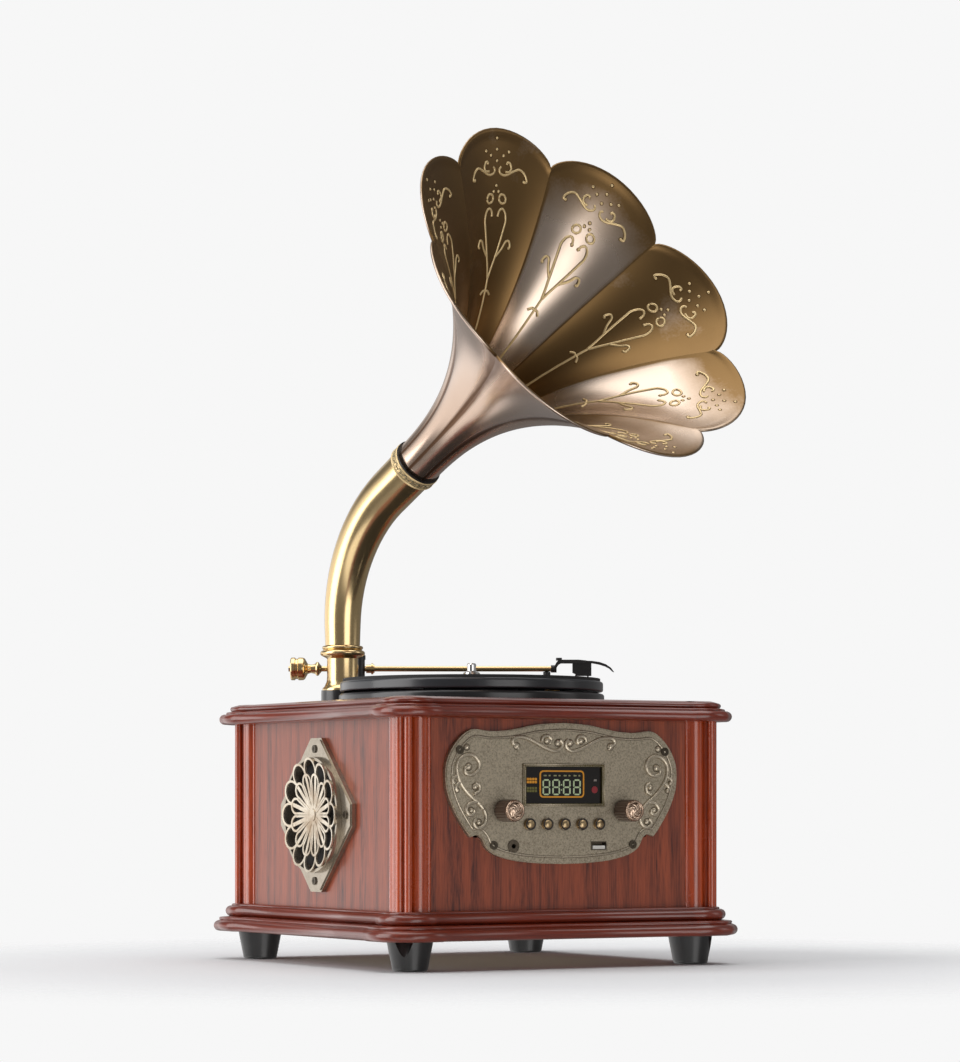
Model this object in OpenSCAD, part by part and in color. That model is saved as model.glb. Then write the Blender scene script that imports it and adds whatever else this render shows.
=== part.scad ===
// Table-top gramophone: wooden cabinet, belt-driven turntable, brass horn.
// Origin on the floor, under the middle of its outline. +Z is up and -Y is the front.

/* [Cabinet] */
// Width and depth across the faces of the panels
case_w = 263.2; // [256:0.4:276]
// Height of the panels between the two mouldings
panel_h = 140; // [130:1:160]
// Thickness of the panels
panel_t = 9; // [7:0.5:11]
// Width of a corner post along one face
post_w = 21.8; // [20:0.2:24]
// Radius of the half-round beside each panel
half_round_r = 7.8; // [7:0.1:8.5]
// Height of the half-round above the panel face
half_round_rise = 4.8; // [3:0.2:5.6]
// Radius of the two reeds on each corner
reed_r = 2.9; // [2.4:0.1:3.2]
// How far the reeds stand out past the panel face
reed_out = 4; // [3.4:0.1:4.6]
// Height of the base moulding
base_h = 21.4; // [19:0.2:24]
// How far the base moulding stands out past the panels
base_over = 22.8; // [20:0.2:26]
// Height of the top board and its moulding
top_h = 15.5; // [14:0.1:18]
// How far the top moulding stands out past the panels
top_over = 18.7; // [16:0.1:22]
// Step forward of both mouldings round the corner posts
break_step = 4; // [2:0.5:5]
// Corner chamfer of the mouldings, on the panel line
corner_cut = 4; // [3:0.5:6]
// Thickness of the bottom board
bottom_t = 8; // [6:0.5:10]

/* [Feet] */
// Height of a foot
foot_h = 22; // [16:0.5:28]
// Radius of a foot at the cabinet
foot_top_r = 17; // [15:0.5:19]
// Radius of a foot at the floor
foot_floor_r = 13.2; // [11:0.2:14.6]
// Distance from each foot's middle to the edge of the base moulding
foot_in = 32.9; // [28:0.1:38]
// Radius of the foot screws
foot_screw_r = 2.4; // [1.8:0.1:3]

/* [Turntable] */
// Distance from the edge of the deck plate to the faces of the cabinet
deck_margin = 29.2; // [26:0.1:34]
// How far the deck plate stands out past the platter
platter_margin = 0.9; // [0.5:0.1:3]
// Height of the platter
platter_h = 7.8; // [7:0.1:10]
// Thickness of the platter mat
mat_t = 2.3; // [1:0.1:3]
// Thickness of the deck plate
deck_t = 7.1; // [6:0.1:8.5]
// Radius of the spindle, for the hole of a record
spindle_r = 3.6; // [3.4:0.02:3.62]
// Height of the spindle above the mat
spindle_h = 12.3; // [8:0.1:14]
// Radius of the chrome centre boss
hub_r = 7.8; // [6:0.1:10]
// Radius of the belt ring under the platter
belt_ring_r = 36; // [30:0.5:42]
// Radius of the motor pulley
pulley_r = 6; // [4.5:0.25:7]
// Distance of the motor from the spindle
motor_off = 64; // [58:1:70]
// Radius of the motor
motor_r = 16; // [13:0.5:18]
// Length of the motor
motor_l = 30; // [22:1:36]

/* [Tonearm] */
// Distance of the tonearm pivot to the right of the horn pillar
arm_beside = 20; // [19.5:0.1:23]
// Distance of the tonearm pivot behind the horn pillar
arm_behind = 19; // [18:0.1:20]
// Height of the arm tube above the top board
arm_rise = 30.4; // [29:0.2:34]
// Radius of the arm tube
arm_r = 2.15; // [1.9:0.05:2.6]
// Length of the headshell, from the end of the tube to the stylus
shell_l = 29.5; // [27:0.1:32]
// Angle of the parked arm, from the X axis
arm_park = -30; // [-31:0.5:-28]
// Radius of the counterweight
weight_r = 9.1; // [7:0.1:11]
// Length of the counterweight
weight_l = 25; // [22:0.5:27]
// Radius of the tonearm turret
turret_r = 9.5; // [8.5:0.1:9.8]

/* [Horn] */
// Distance of the horn pillar's middle from the edge of the deck plate
pillar_gap = 17.1; // [16.9:0.1:19]
// Direction of the horn pillar, seen from the spindle
pillar_dir = 118.5; // [116:0.5:121]
// Radius of the pillar
pillar_r = 12.3; // [11.8:0.1:13]
// Height of the pillar above its black flange
pillar_h = 35.6; // [30:0.2:42]
// Radius of the black flange that carries the pillar
flange_r = 16.9; // [15.5:0.1:17]
// Radius of the elbow where it leaves the pillar
elbow_r0 = 13.8; // [12:0.1:15]
// Radius of the elbow at the horn
elbow_r1 = 18.3; // [16.5:0.1:20]
// Straight length of the elbow above the pillar
elbow_rise = 16.6; // [12:0.2:32]
// Radius of the bend of the elbow
elbow_bend = 118; // [100:1:140]
// Straight length of the elbow behind the horn
elbow_reach = 38.6; // [20:0.2:50]
// Wall of the elbow and the horn
sheet_t = 1.2; // [0.9:0.1:1.6]
// Turn of the horn from straight ahead, towards +X
horn_turn = 12.3; // [0:0.1:25]
// Upward tilt of the horn
horn_tilt = 31.1; // [25:0.1:45]
// Length of the horn from neck to the notches of its rim
horn_l = 207.5; // [180:0.5:230]
// Radius of the horn at the notches of its rim
mouth_r = 131.8; // [110:0.2:145]
// Power of the curve of the horn's flare
flare = 2.38; // [2:0.02:2.8]
// How far each petal reaches past the notches
petal_l = 10; // [6:0.5:14]
// Swell of each petal between its seams, at the rim
petal_swell = 0.03; // [0.01:0.005:0.04]
// Extra swell of each petal halfway along the horn
petal_fold = 0.035; // [0:0.005:0.05]
// How far the rolled rim stands out from the sheet
rim_roll = 0.7; // [0.3:0.1:1]
// Number of petals
petals = 8; // [6:1:10]
// Turn of the petals about the horn's axis
petal_turn = 30; // [0:1:45]
// Radius of the collar under the horn
collar_r = 20; // [19:0.1:22]
// Length of the collar under the horn
collar_l = 8.5; // [6:0.5:12]

/* [Control plate] */
// Distance from the ends of the cast control plate to the sides of the cabinet
plate_margin = 31.6; // [29:0.1:38]
// Distance from the top of the plate to the top moulding
plate_top = 2.5; // [1.5:0.1:6]
// Distance from the bottom of the plate to the base moulding
plate_low = 33.5; // [28:0.5:40]
// Thickness of the plate
plate_t = 4.5; // [3.5:0.1:6]
// Width of the display frame
display_w = 71; // [66:0.5:76]
// Height of the display frame
display_h = 31.7; // [28:0.1:34]
// Height of the display above the middle of the plate
display_up = 6.1; // [5:0.1:8]
// Distance of each knob from the middle
knob_at = 51.5; // [50:0.5:58]
// Radius of the knobs
knob_r = 8.2; // [7.2:0.1:9]
// Length of the knobs
knob_l = 17.5; // [12:0.5:22]
// Radius of the push buttons
button_r = 3.75; // [3.2:0.05:4.2]
// Spacing of the push buttons
button_pitch = 15; // [12.5:0.1:16]
// Travel of a push button
button_travel = 1.5; // [1:0.1:2]

/* [Speakers] */
// Distance from the tips of the diamond grille frame to the mouldings
diamond_margin = 12.2; // [8:0.1:14]
// Half width of the blunt tips of the diamond
diamond_tip = 8.5; // [6:0.5:10]
// Thickness of the grille frame
grille_t = 4.5; // [3.5:0.1:6]
// Height of the cup that carries the flower above the grille frame
cup_h = 4; // [2:0.2:5]
// Depth of the dished flower in its cup
flower_dish = 4; // [2:0.2:5]
// Number of loops in each row of the flower
flower_n = 12; // [10:1:14]
// Width of the strip that the loops are bent from
strip_w = 1.7; // [1.4:0.1:2.2]
// Radius of the speaker cone
cone_r = 34; // [31:0.5:36]
// Depth of the speaker basket
basket_l = 26; // [22:0.5:34]

/* [Back plate] */
// Width of the connector plate
back_w = 130; // [122:1:150]
// Height of the connector plate
back_h = 46; // [42:1:60]
// Height of the middle of the plate above the panel's lower edge
back_up = 42; // [38:1:60]
// Thickness of the plate
back_t = 2.5; // [2:0.1:4]

/* [Fits] */
// Radial clearance of a turning or sliding fit
run_c = 0.06; // [0.03:0.01:0.09]
// Clearance beside parts that only sit in place
seat_c = 0.2; // [0.1:0.05:0.3]

/* [Hidden] */
$fn = 48;

hw = case_w / 2;
deck_r = hw - deck_margin;
platter_r = deck_r - platter_margin;
foot_at = hw + base_over - foot_in;
panel_hw = hw - post_w;
inner_hw = hw - panel_t;
z_base = foot_h;
z_panel = z_base + base_h;
z_top = z_panel + panel_h;
z_deck = z_top + top_h;
diag = sqrt(2) - 1;
rebate_z = 8;
rebate_out = inner_hw - 4;
rebate_in = inner_hw - 12;
lid_half = hw - 1.5;

z_deck_top = z_deck + deck_t;
platter_gap = 1.6;
z_platter = z_deck_top + platter_gap;
z_mat = z_platter + platter_h;
z_record = z_mat + mat_t;
web_t = 3;
z_web = z_mat - web_t;
motor_dir = -45;
motor_pos = motor_off * [cos(motor_dir), sin(motor_dir)];
shaft_r = 1.5;
belt_t = 1;
belt_h = 2.6;
belt_c = 0.25;
z_belt = z_platter + 1;
bearing_r = 10;
bearing_l = 36;

z_arm = z_deck + arm_rise;
pillar_pos = (deck_r + pillar_gap) * [cos(pillar_dir), sin(pillar_dir)];
arm_pos = pillar_pos + [arm_beside, arm_behind];
pin_r = 1.5;
slot_w = 7;
cheek_gap = 0.3;
turret_floor = 3;
turret_low = z_arm - 10;
turret_high = z_arm + 12.6;
slot_top = z_arm + 7.4;
pivot_spigot_r = 4;
stub_start = 10;
weight_at = 50.5;
shell_k = shell_l / 29.5;
shell_block = 4.5;
rest_r = 2.9;
rest_foot = 1.2;
rest_clear = 0.8;
rest_gap = 0.3;
rest_out = deck_r + rest_r + rest_foot + rest_clear;
arm_dot = arm_pos * [cos(arm_park), sin(arm_park)];
rest_at = sqrt(arm_dot * arm_dot - arm_pos * arm_pos + rest_out * rest_out) - arm_dot;
shell_at = rest_at + 3.3;
arm_len = shell_at + shell_l;
cart_l = 15 * shell_k;
cart_top = 4.4;
stylus_r = 0.7;

flange_h = 12.1;
z_pillar = z_deck + flange_h;
z_elbow = z_pillar + pillar_h;
spigot_r = 10.6;
spigot_l = 26;
sound_r = 8;
horn_az = horn_turn - 90;
bend_angle = 90 - horn_tilt;
elbow_end = [elbow_bend * (1 - cos(bend_angle)) + elbow_reach * cos(horn_tilt),
    z_elbow + elbow_rise + elbow_bend * sin(bend_angle) + elbow_reach * sin(horn_tilt)];
gasket_t = 1.2;
neck_r = elbow_r1;
neck_in = 14;
neck_wall_r = elbow_r1 - sheet_t - seat_c;
horn_start = gasket_t;

horn_ahead = cos(horn_tilt) * cos(horn_turn);
horn_tip = horn_l + petal_l;
front_y = pillar_pos[1] - elbow_end[0] * cos(horn_turn) - horn_tip * horn_ahead
    - flare_r(horn_tip) * (1 + petal_swell) * sqrt(1 - horn_ahead * horn_ahead);
middle_y = -(front_y + hw + base_over) / 2;

plate_y = hw + plate_t;
plate_hw = hw - plate_margin;
plate_hh = (panel_h - plate_top - plate_low) / 2;
z_plate = z_top - plate_top - plate_hh;
z_display = z_plate + display_up;
z_knob = z_plate - 0.244 * plate_hh;
z_button = z_plate - 0.4346 * plate_hh;
z_socket = z_plate - 0.7423 * plate_hh;
window_margin = 2.6;
window_w = display_w - 2 * window_margin;
window_h = display_h - 2 * window_margin + 0.6;
aux_x = -0.433 * plate_hw;
usb_x = 0.303 * plate_hw;
aux_r = 1.75;
usb_w = 13.4;
usb_h = 6;
usb_wall = 0.5;
button_n = 5;
button_flange = 1.4;
button_out = 3;
board_y = hw - 11;
board_t = 1.6;
board_hw = knob_at + 14.5;
board_front = board_y + board_t - hw;
display_seat = 2;
plate_screws = [[0.885 * plate_hw, 0.604 * plate_hh], [0.6 * plate_hw, -0.729 * plate_hh]];
plate_screw_r = 1.9;
screw_in = 5;

diamond_r = panel_h / 2 - diamond_margin;
grille_z = z_panel + diamond_r + diamond_margin - 0.4;
grille_hole_r = 0.718 * diamond_r;
panel_hole_r = cone_r + 4;
magnet_r = 22;
lip_w = 2.2;
z_cup = grille_t + cup_h;
flower_tip = grille_hole_r + 1.7;
flower_t = 1.5;
flower_boss_r = 4.6;
dish_r = (grille_hole_r * grille_hole_r + flower_dish * flower_dish) / (2 * flower_dish);
grille_screw_at = 0.858 * diamond_r;

z_inside = z_base + rebate_z + bottom_t;
amp_in = [111.6, 101.6];
amp_pos = [hw - amp_in[0], amp_in[1] - hw];
board_w = 110;
board_d = 76;
sink_w = 30;
sink_d = 24;
sink_h = 28;
can_r = 6.5;
coil_in = [69.6, 79.6];
coil_pos = [coil_in[0] - hw, hw - coil_in[1]];
core_w = 44;
core_d = 36;
core_h = 36;

z_back = z_panel + back_up;
inlet_x = -42;
jack_x = 8;
jack_pitch = 14;
switch_x = 44;
jack_r = 4.15;
jack_out = 8;
inlet_w = 22;
inlet_h = 13;
inlet_deep = 14;
rocker_w = 10;
rocker_h = 18;
rocker_pin_r = 1.2;
rocker_down = 3;
rocker_tip = 10;
switch_w = 13.6;
switch_h = 21.4;

// Points of an arc about c, from angle a to angle b
function arc(c, r, a, b, n) = [for (i = [0:n]) c + r * [cos(a + (b - a) * i / n), sin(a + (b - a) * i / n)]];
// One point of a smooth curve through p1 and p2
function blend4(p0, p1, p2, p3, t) = 0.5 * (2 * p1 + (p2 - p0) * t
    + (2 * p0 - 5 * p1 + 4 * p2 - p3) * t * t + (3 * p1 - p0 - 3 * p2 + p3) * t * t * t);
// Smooth curve through a list of points
function smooth(p, n) = [for (i = [0:len(p) - 2]) for (j = [0:n - 1])
    blend4(p[max(i - 1, 0)], p[i], p[i + 1], p[min(i + 2, len(p) - 1)], j / n)];
// The same points stretched in X
function stretched(p, k) = [for (q = p) [q[0] * k, q[1]]];

// Puts the origin under the middle of the whole machine, horn included
module placed() {
    translate([0, middle_y, 0]) children();
}
// Places children on a face of the cabinet: local Z points out and local Y up
module on_face(turn, out, z) {
    rotate([0, 0, turn]) translate([0, -out, z]) rotate([90, 0, 0]) children();
}
module at_front(x, z, out) {
    on_face(0, out, 0) translate([x, z, 0]) children();
}
module at_back(x, z, out) {
    on_face(180, out, 0) translate([x, z, 0]) children();
}
module block(size_x, size_y, z0, z1) {
    translate([-size_x / 2, -size_y / 2, z0]) cube([size_x, size_y, z1 - z0]);
}
module rod(r, z0, z1) {
    translate([0, 0, z0]) cylinder(r = r, h = z1 - z0);
}
module ring(r_out, r_in, z0, z1) {
    difference() {
        rod(r_out, z0, z1);
        rod(r_in, z0 - 1, z1 + 1);
    }
}

// One corner of a moulding's outline, d outside the panel line
function corner_points(d) = [
    [panel_hw + 5 - diag * d, hw + d - break_step],
    [panel_hw + 5 + break_step - diag * d, hw + d],
    [hw - corner_cut + diag * d, hw + d],
    [hw + d, hw - corner_cut + diag * d],
    [hw + d, panel_hw + 5 + break_step - diag * d],
    [hw + d - break_step, panel_hw + 5 - diag * d]];
// Chamfered corner of a square, a from the middle
function square_corner(a) = [[a - 24, a], [a - 16, a], [a - 8, a], [a, a - 8], [a, a - 16], [a, a - 24]];
function turned(p, q) = q == 0 ? p : turned([for (v = p) [v[1], -v[0]]], q - 1);
function around(p) = [for (q = [0:3]) each turned(p, q)];
// Frame of moulding: outer edge of [out, z] points upwards, inner edge of [half, z] points downwards
module moulding(outer, inner) {
    rings = concat(
        [for (p = outer) [for (v = around(corner_points(p[0]))) [v[0], v[1], p[1]]]],
        [for (p = inner) [for (v = around(square_corner(p[0]))) [v[0], v[1], p[1]]]]);
    n = len(rings[0]);
    m = len(rings);
    polyhedron(
        points = [for (r = rings) each r],
        faces = [for (i = [0:m - 1]) for (j = [0:n - 1]) let (k = (j + 1) % n, e = (i + 1) % m)
            [i * n + j, i * n + k, e * n + k, e * n + j]]);
}
// Edge of the base: bullnose, fine bead, large round and fine bead
base_profile = let (o = base_over, z = z_base, k = base_h / 21.4) concat(
    arc([o - 4.2, z + 4.2], 4.2, -90, 75, 7),
    arc([o - 5.2, z + 9.8 * k], 1.25, -55, 70, 3),
    arc([o - 12.8, z + 15.7 * k], 4.2, -70, 75, 6),
    arc([o - 14.2, z + base_h - 1.2], 1.2, -40, 90, 3),
    [[o - 15, z + base_h]]);
// Edge of the top: bullnose, fine bead and round
top_profile = let (o = top_over, z = z_top, k = top_h / 15.5) concat(
    arc([o - 4.1, z + 4.1], 4.1, -90, 75, 7),
    arc([o - 6.1, z + 8.6 * k], 1.2, -50, 75, 3),
    arc([o - 9.9, z + 12.1 * k], 2, -60, 60, 4),
    [[o - 12, z + top_h - 0.7], [o - 14.5, z + top_h]]);

module bottom_board() color("burlywood") placed() {
    translate([0, 0, z_base + rebate_z]) linear_extrude(bottom_t)
        polygon(around(square_corner(rebate_out - seat_c)));
}
module base_moulding() color("saddlebrown") placed() {
    moulding(base_profile, [[rebate_out, z_panel], [rebate_out, z_base + rebate_z],
        [rebate_in, z_base + rebate_z], [rebate_in, z_base]]);
}
module panel() {
    block(2 * panel_hw, panel_t, z_panel, z_top);
}
module front_panel() color("sienna") placed() {
    difference() {
        translate([0, -hw + panel_t / 2, 0]) panel();
        translate([0, -hw, 0]) block(1.5 * plate_hw, 4 * panel_t, z_plate - 0.62 * plate_hh, z_plate + 0.6 * plate_hh);
        translate([0, -hw, 0]) block(1.05 * plate_hw, 4 * panel_t, z_plate - 0.85 * plate_hh, z_plate);
        plate_screw_places() pilot();
    }
}
module rear_panel() color("sienna") placed() {
    difference() {
        translate([0, hw - panel_t / 2, 0]) panel();
        translate([0, hw, 0]) block(back_w - 20, 4 * panel_t, z_back - back_h / 2 + 6, z_back + back_h / 2 - 6);
        back_screw_places() pilot();
    }
}
module side_panel(turn) {
    difference() {
        rotate([0, 0, turn]) translate([0, -hw + panel_t / 2, 0]) panel();
        on_face(turn, hw, grille_z) rod(panel_hole_r, -2 * panel_t, panel_t);
        grille_screw_places(turn) pilot();
    }
}
module left_panel() color("sienna") placed() side_panel(-90);
module right_panel() color("sienna") placed() side_panel(90);

module post_shape() {
    round_at = panel_hw + 9.4;
    core = hw - 1;
    translate([panel_hw, panel_hw]) square(core - panel_hw);
    for (m = [0, 1]) mirror([m, -m]) {
        translate([round_at, hw + half_round_rise - half_round_r]) circle(half_round_r);
        translate([panel_hw + 1.7, hw - 0.6]) circle(1.6);
        translate([hw - 0.6, hw + reed_out]) circle(reed_r);
    }
    polygon([[hw - 12, hw - 12], [hw + 1.4, hw - 3.1], [hw + reed_out, hw - 0.6],
        [hw - 0.6, hw + reed_out], [hw - 3.1, hw + 1.4]]);
}
module corner_posts() color("brown") placed() {
    for (a = [0:90:270]) rotate([0, 0, a])
        translate([0, 0, z_panel]) linear_extrude(panel_h) post_shape();
}
module top_moulding() color("saddlebrown") placed() {
    moulding(top_profile, [[lid_half, z_deck], [lid_half, z_top]]);
}
module top_board() color("saddlebrown") placed() {
    difference() {
        translate([0, 0, z_top]) linear_extrude(top_h) polygon(around(square_corner(lid_half - seat_c / 2)));
        rod(bearing_r + seat_c, z_top - 1, z_deck + 1);
        translate(motor_pos) rod(motor_r + 1, z_top - 1, z_deck + 1);
        translate(pillar_pos) rod(sound_r, z_top - 1, z_deck + 1);
        translate(arm_pos) rod(pivot_spigot_r + 1.5, z_top - 1, z_deck + 1);
    }
}
module foot() {
    scoop_r = 7.5;
    difference() {
        rotate_extrude() polygon(concat(
            [[0, 0]],
            arc([foot_floor_r - 2.4, 2.4], 2.4, -90, 0, 6),
            [[foot_top_r, foot_h], [0, foot_h]]));
        rod(foot_screw_r, 6, foot_h + 1);
        rod(2 * foot_screw_r, -1, 6);
        translate([foot_top_r + 1, 0, foot_h * 0.25]) cylinder(r1 = 1, r2 = scoop_r, h = foot_h * 0.75 + 0.01);
    }
}
module feet() color("#1c1c1c") placed() {
    for (a = [45:90:315]) rotate([0, 0, a]) translate([sqrt(2) * foot_at, 0, 0]) foot();
}
// Places of the screws of each plate, on the face of its panel
module plate_screw_places() {
    for (x = [-1, 1]) for (p = plate_screws) at_front(x * p[0], z_plate + p[1], hw) children();
}
module grille_screw_places(turn) {
    on_face(turn, hw, grille_z) for (q = [0:90:270]) rotate([0, 0, q])
        translate([grille_screw_at, 0, 0]) children();
}
module back_screw_places() {
    for (x = [-1, 1]) for (z = [-1, 1])
        at_back(x * (back_w / 2 - 5), z_back + z * (back_h / 2 - 4), hw) children();
}
module pilot() {
    rod(plate_screw_r, -screw_in - 1, plate_t + grille_t + back_t);
}
// Pan-head screw, head on local z = 0 and shank down
module pan_screw(r, head_r, head_t, l) {
    slot = 0.7;
    difference() {
        union() {
            rod(r, -l, 0.01);
            rod(head_r, 0, head_t);
        }
        for (a = [0, 90]) rotate([0, 0, a])
            translate([-0.6 * head_r, -slot / 2, head_t / 2]) cube([1.2 * head_r, slot, head_t]);
    }
}
module screws() color("gray") placed() {
    shank = plate_screw_r - seat_c / 2;
    for (x = [-1, 1]) for (y = [-1, 1]) translate([x * foot_at, y * foot_at, 6]) rotate([180, 0, 0])
        pan_screw(foot_screw_r - seat_c / 2, 1.7 * foot_screw_r, 2, foot_h + 4);
    plate_screw_places() translate([0, 0, plate_t]) pan_screw(shank, 3.2, 1.1, plate_t + screw_in);
    for (a = [-90, 90]) grille_screw_places(a)
        translate([0, 0, grille_t]) pan_screw(shank, 3, 1, grille_t + screw_in);
    back_screw_places() translate([0, 0, back_t]) pan_screw(shank, 3, 1.4, back_t + screw_in);
}

module rear_plate() color("#262626") placed() {
    difference() {
        at_back(0, z_back, hw) translate([-back_w / 2, -back_h / 2, 0]) cube([back_w, back_h, back_t]);
        at_back(inlet_x, z_back, hw) translate([-inlet_w / 2, -inlet_h / 2, -1])
            cube([inlet_w, inlet_h, back_t + 2]);
        for (i = [0, 1]) at_back(jack_x + i * jack_pitch, z_back, hw) rod(jack_r + seat_c, -1, back_t + 1);
        at_back(switch_x, z_back, hw) translate([-switch_w / 2 - seat_c, -switch_h / 2 - seat_c, -1])
            cube([switch_w + 2 * seat_c, switch_h + 2 * seat_c, back_t + 2]);
        back_screw_places() pilot();
    }
}
module power_inlet() color("#151515") placed() {
    socket_r = 4;
    pin_at = 4.3;
    at_back(inlet_x, z_back, hw + back_t) {
        difference() {
            union() {
                translate([-inlet_w / 2 + seat_c, -inlet_h / 2 + seat_c, -inlet_deep - 3])
                    cube([inlet_w - 2 * seat_c, inlet_h - 2 * seat_c, inlet_deep + 3]);
                translate([-inlet_w / 2 - 2, -inlet_h / 2 - 2, 0]) cube([inlet_w + 4, inlet_h + 4, 1.5]);
            }
            for (s = [-1, 1]) translate([s * pin_at, 0, 0]) rod(socket_r, -inlet_deep, 3);
            translate([-pin_at, -socket_r + 0.4, -inlet_deep]) cube([2 * pin_at, 2 * socket_r - 0.8, inlet_deep + 3]);
        }
        for (s = [-1, 1]) translate([s * pin_at, 0, 0]) rod(1.2, -inlet_deep - 1, -3);
    }
}
module line_out_jacks() color("silver") placed() {
    for (i = [0, 1]) at_back(jack_x + i * jack_pitch, z_back, hw + back_t) difference() {
        union() {
            rod(jack_r, -12, jack_out);
            rod(jack_r + 1.4, 0, 1.6);
        }
        rod(1.6, -10, jack_out + 1);
        ring(jack_r + 1, jack_r - 0.8, 2.5, 3);
    }
}
module switch_housing() color("#141414") placed() {
    wall = 1.5;
    deep = 9;
    at_back(switch_x, z_back, hw + back_t) difference() {
        union() {
            translate([-switch_w / 2, -switch_h / 2, -deep - wall]) cube([switch_w, switch_h, deep + 2 * wall]);
            translate([-switch_w / 2 - 2, -switch_h / 2 - 2, 0]) cube([switch_w + 4, switch_h + 4, wall]);
        }
        translate([-rocker_w / 2 - 0.3, -rocker_h / 2 - 0.5, -deep]) cube([rocker_w + 0.6, rocker_h + 1, 2 * deep]);
        translate([0, 0, -rocker_down]) rotate([0, 90, 0])
            rod(rocker_pin_r + run_c, -rocker_w / 2 - 1.3, rocker_w / 2 + 1.3);
    }
}
// Rocker: a key with two sloping halves on a cross pin, tipped to its off side
module power_switch() color("#101010") placed() {
    h = rocker_h / 2 - 0.8;
    at_back(switch_x, z_back, hw + back_t) translate([0, 0, -rocker_down]) rotate([rocker_tip, 0, 0]) {
        rotate([90, 0, 90]) translate([0, 0, -rocker_w / 2]) linear_extrude(rocker_w)
            polygon([[-h, 0.5], [-3, -4], [3, -4], [h, 0.5], [h, 4], [0, 2.8], [-h, 4]]);
        rotate([0, 90, 0]) rod(rocker_pin_r, -rocker_w / 2 - 1.1, rocker_w / 2 + 1.1);
    }
}

module deck_plate() color("#141414") placed() {
    edge = 2.2;
    lobe_w = 26;
    difference() {
        union() {
            translate([0, 0, z_deck]) rotate_extrude($fn = 96) polygon(concat(
                [[0, 0], [deck_r, 0]],
                arc([deck_r - edge, deck_t - edge], edge, 0, 90, 6),
                [[0, deck_t]]));
            translate(pillar_pos) rod(flange_r, z_deck, z_pillar);
            rotate([0, 0, pillar_dir]) translate([deck_r - 8, -lobe_w / 2, z_deck])
                cube([norm(pillar_pos) - deck_r + 8, lobe_w, deck_t - edge - 0.6]);
        }
        rod(bearing_r + seat_c, z_deck - 1, z_deck_top + 1);
        translate(motor_pos) rod(shaft_r + 1.5, z_deck - 1, z_deck_top + 1);
        translate(pillar_pos) rod(sound_r, z_deck - 1, z_pillar + 1);
    }
}
module platter() color("#202020") placed() {
    rim = 3;
    edge = 2;
    translate([0, 0, z_platter]) rotate_extrude($fn = 96) polygon(concat(
        [[spindle_r + seat_c / 2, web_t], [belt_ring_r - 3, platter_h - web_t], [belt_ring_r - 3, 0.6],
            [belt_ring_r, 0.6], [belt_ring_r, platter_h - web_t], [platter_r - rim, platter_h - web_t],
            [platter_r - rim, 0]],
        arc([platter_r - 1.2, 1.2], 1.2, -90, 0, 4),
        arc([platter_r - edge, platter_h - edge], edge, 0, 90, 6),
        [[spindle_r + seat_c / 2, platter_h]]));
}
module platter_mat() color("#0c0c0c") placed() {
    groove = 0.5;
    difference() {
        translate([0, 0, 0]) ring(platter_r - 2.2, hub_r + seat_c, z_mat, z_record);
        for (r = [24:12:platter_r - 12]) ring(r + 1.2, r, z_record - groove, z_record + 1);
    }
}
module spindle() color("silver") placed() {
    tip = spindle_r - 0.6;
    rotate_extrude() polygon([
        [0, z_deck_top - bearing_l + 6], [spindle_r, z_deck_top - bearing_l + 6],
        [spindle_r, z_deck_top + 0.4], [belt_ring_r / 4, z_deck_top + 0.4], [belt_ring_r / 4, z_platter + 1],
        [spindle_r, z_platter + web_t - 0.1], [spindle_r, z_mat], [hub_r, z_mat],
        [hub_r, z_record + 1.5], [hub_r - 1.6, z_record + 5], [spindle_r + 0.4, z_record + 6.2],
        [spindle_r, z_record + 6.4], [spindle_r, z_record + spindle_h - 1.2],
        [tip, z_record + spindle_h - 0.2], [1.5, z_record + spindle_h], [0, z_record + spindle_h]]);
}
module spindle_bearing() color("goldenrod") placed() {
    low = z_deck_top - bearing_l;
    difference() {
        union() {
            rod(bearing_r, low, z_deck_top);
            rod(bearing_r + 8, z_top - 3, z_top);
        }
        rod(spindle_r + run_c, low + 5, z_deck_top + 1);
    }
}
module motor() color("silver") placed() {
    translate(motor_pos) difference() {
        union() {
            rod(motor_r, z_deck - motor_l, z_deck - 1);
            rod(4, z_deck - 1.5, z_deck);
            rod(motor_r - 3, z_deck - motor_l - 3, z_deck - motor_l + 1);
        }
        rod(shaft_r + run_c, z_deck - motor_l + 4, z_deck + 1);
    }
}
module motor_pulley() color("goldenrod") placed() {
    translate(motor_pos) {
        rod(shaft_r, z_deck - motor_l + 6, z_deck_top + 1);
        rod(pulley_r, z_deck_top + 0.8, z_web - 0.8);
    }
}
module belt_loop(grow) {
    hull() {
        circle(belt_ring_r + belt_c + grow, $fn = 72);
        translate(motor_pos) circle(pulley_r + belt_c + grow, $fn = 32);
    }
}
module drive_belt() color("#2b2b2b") placed() {
    translate([0, 0, z_belt]) linear_extrude(belt_h) difference() {
        belt_loop(belt_t);
        belt_loop(0);
    }
}

// Local frame of the arm: X along the parked arm from the pivot, Z up
module on_arm() {
    translate(arm_pos) rotate([0, 0, arm_park]) children();
}
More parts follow.
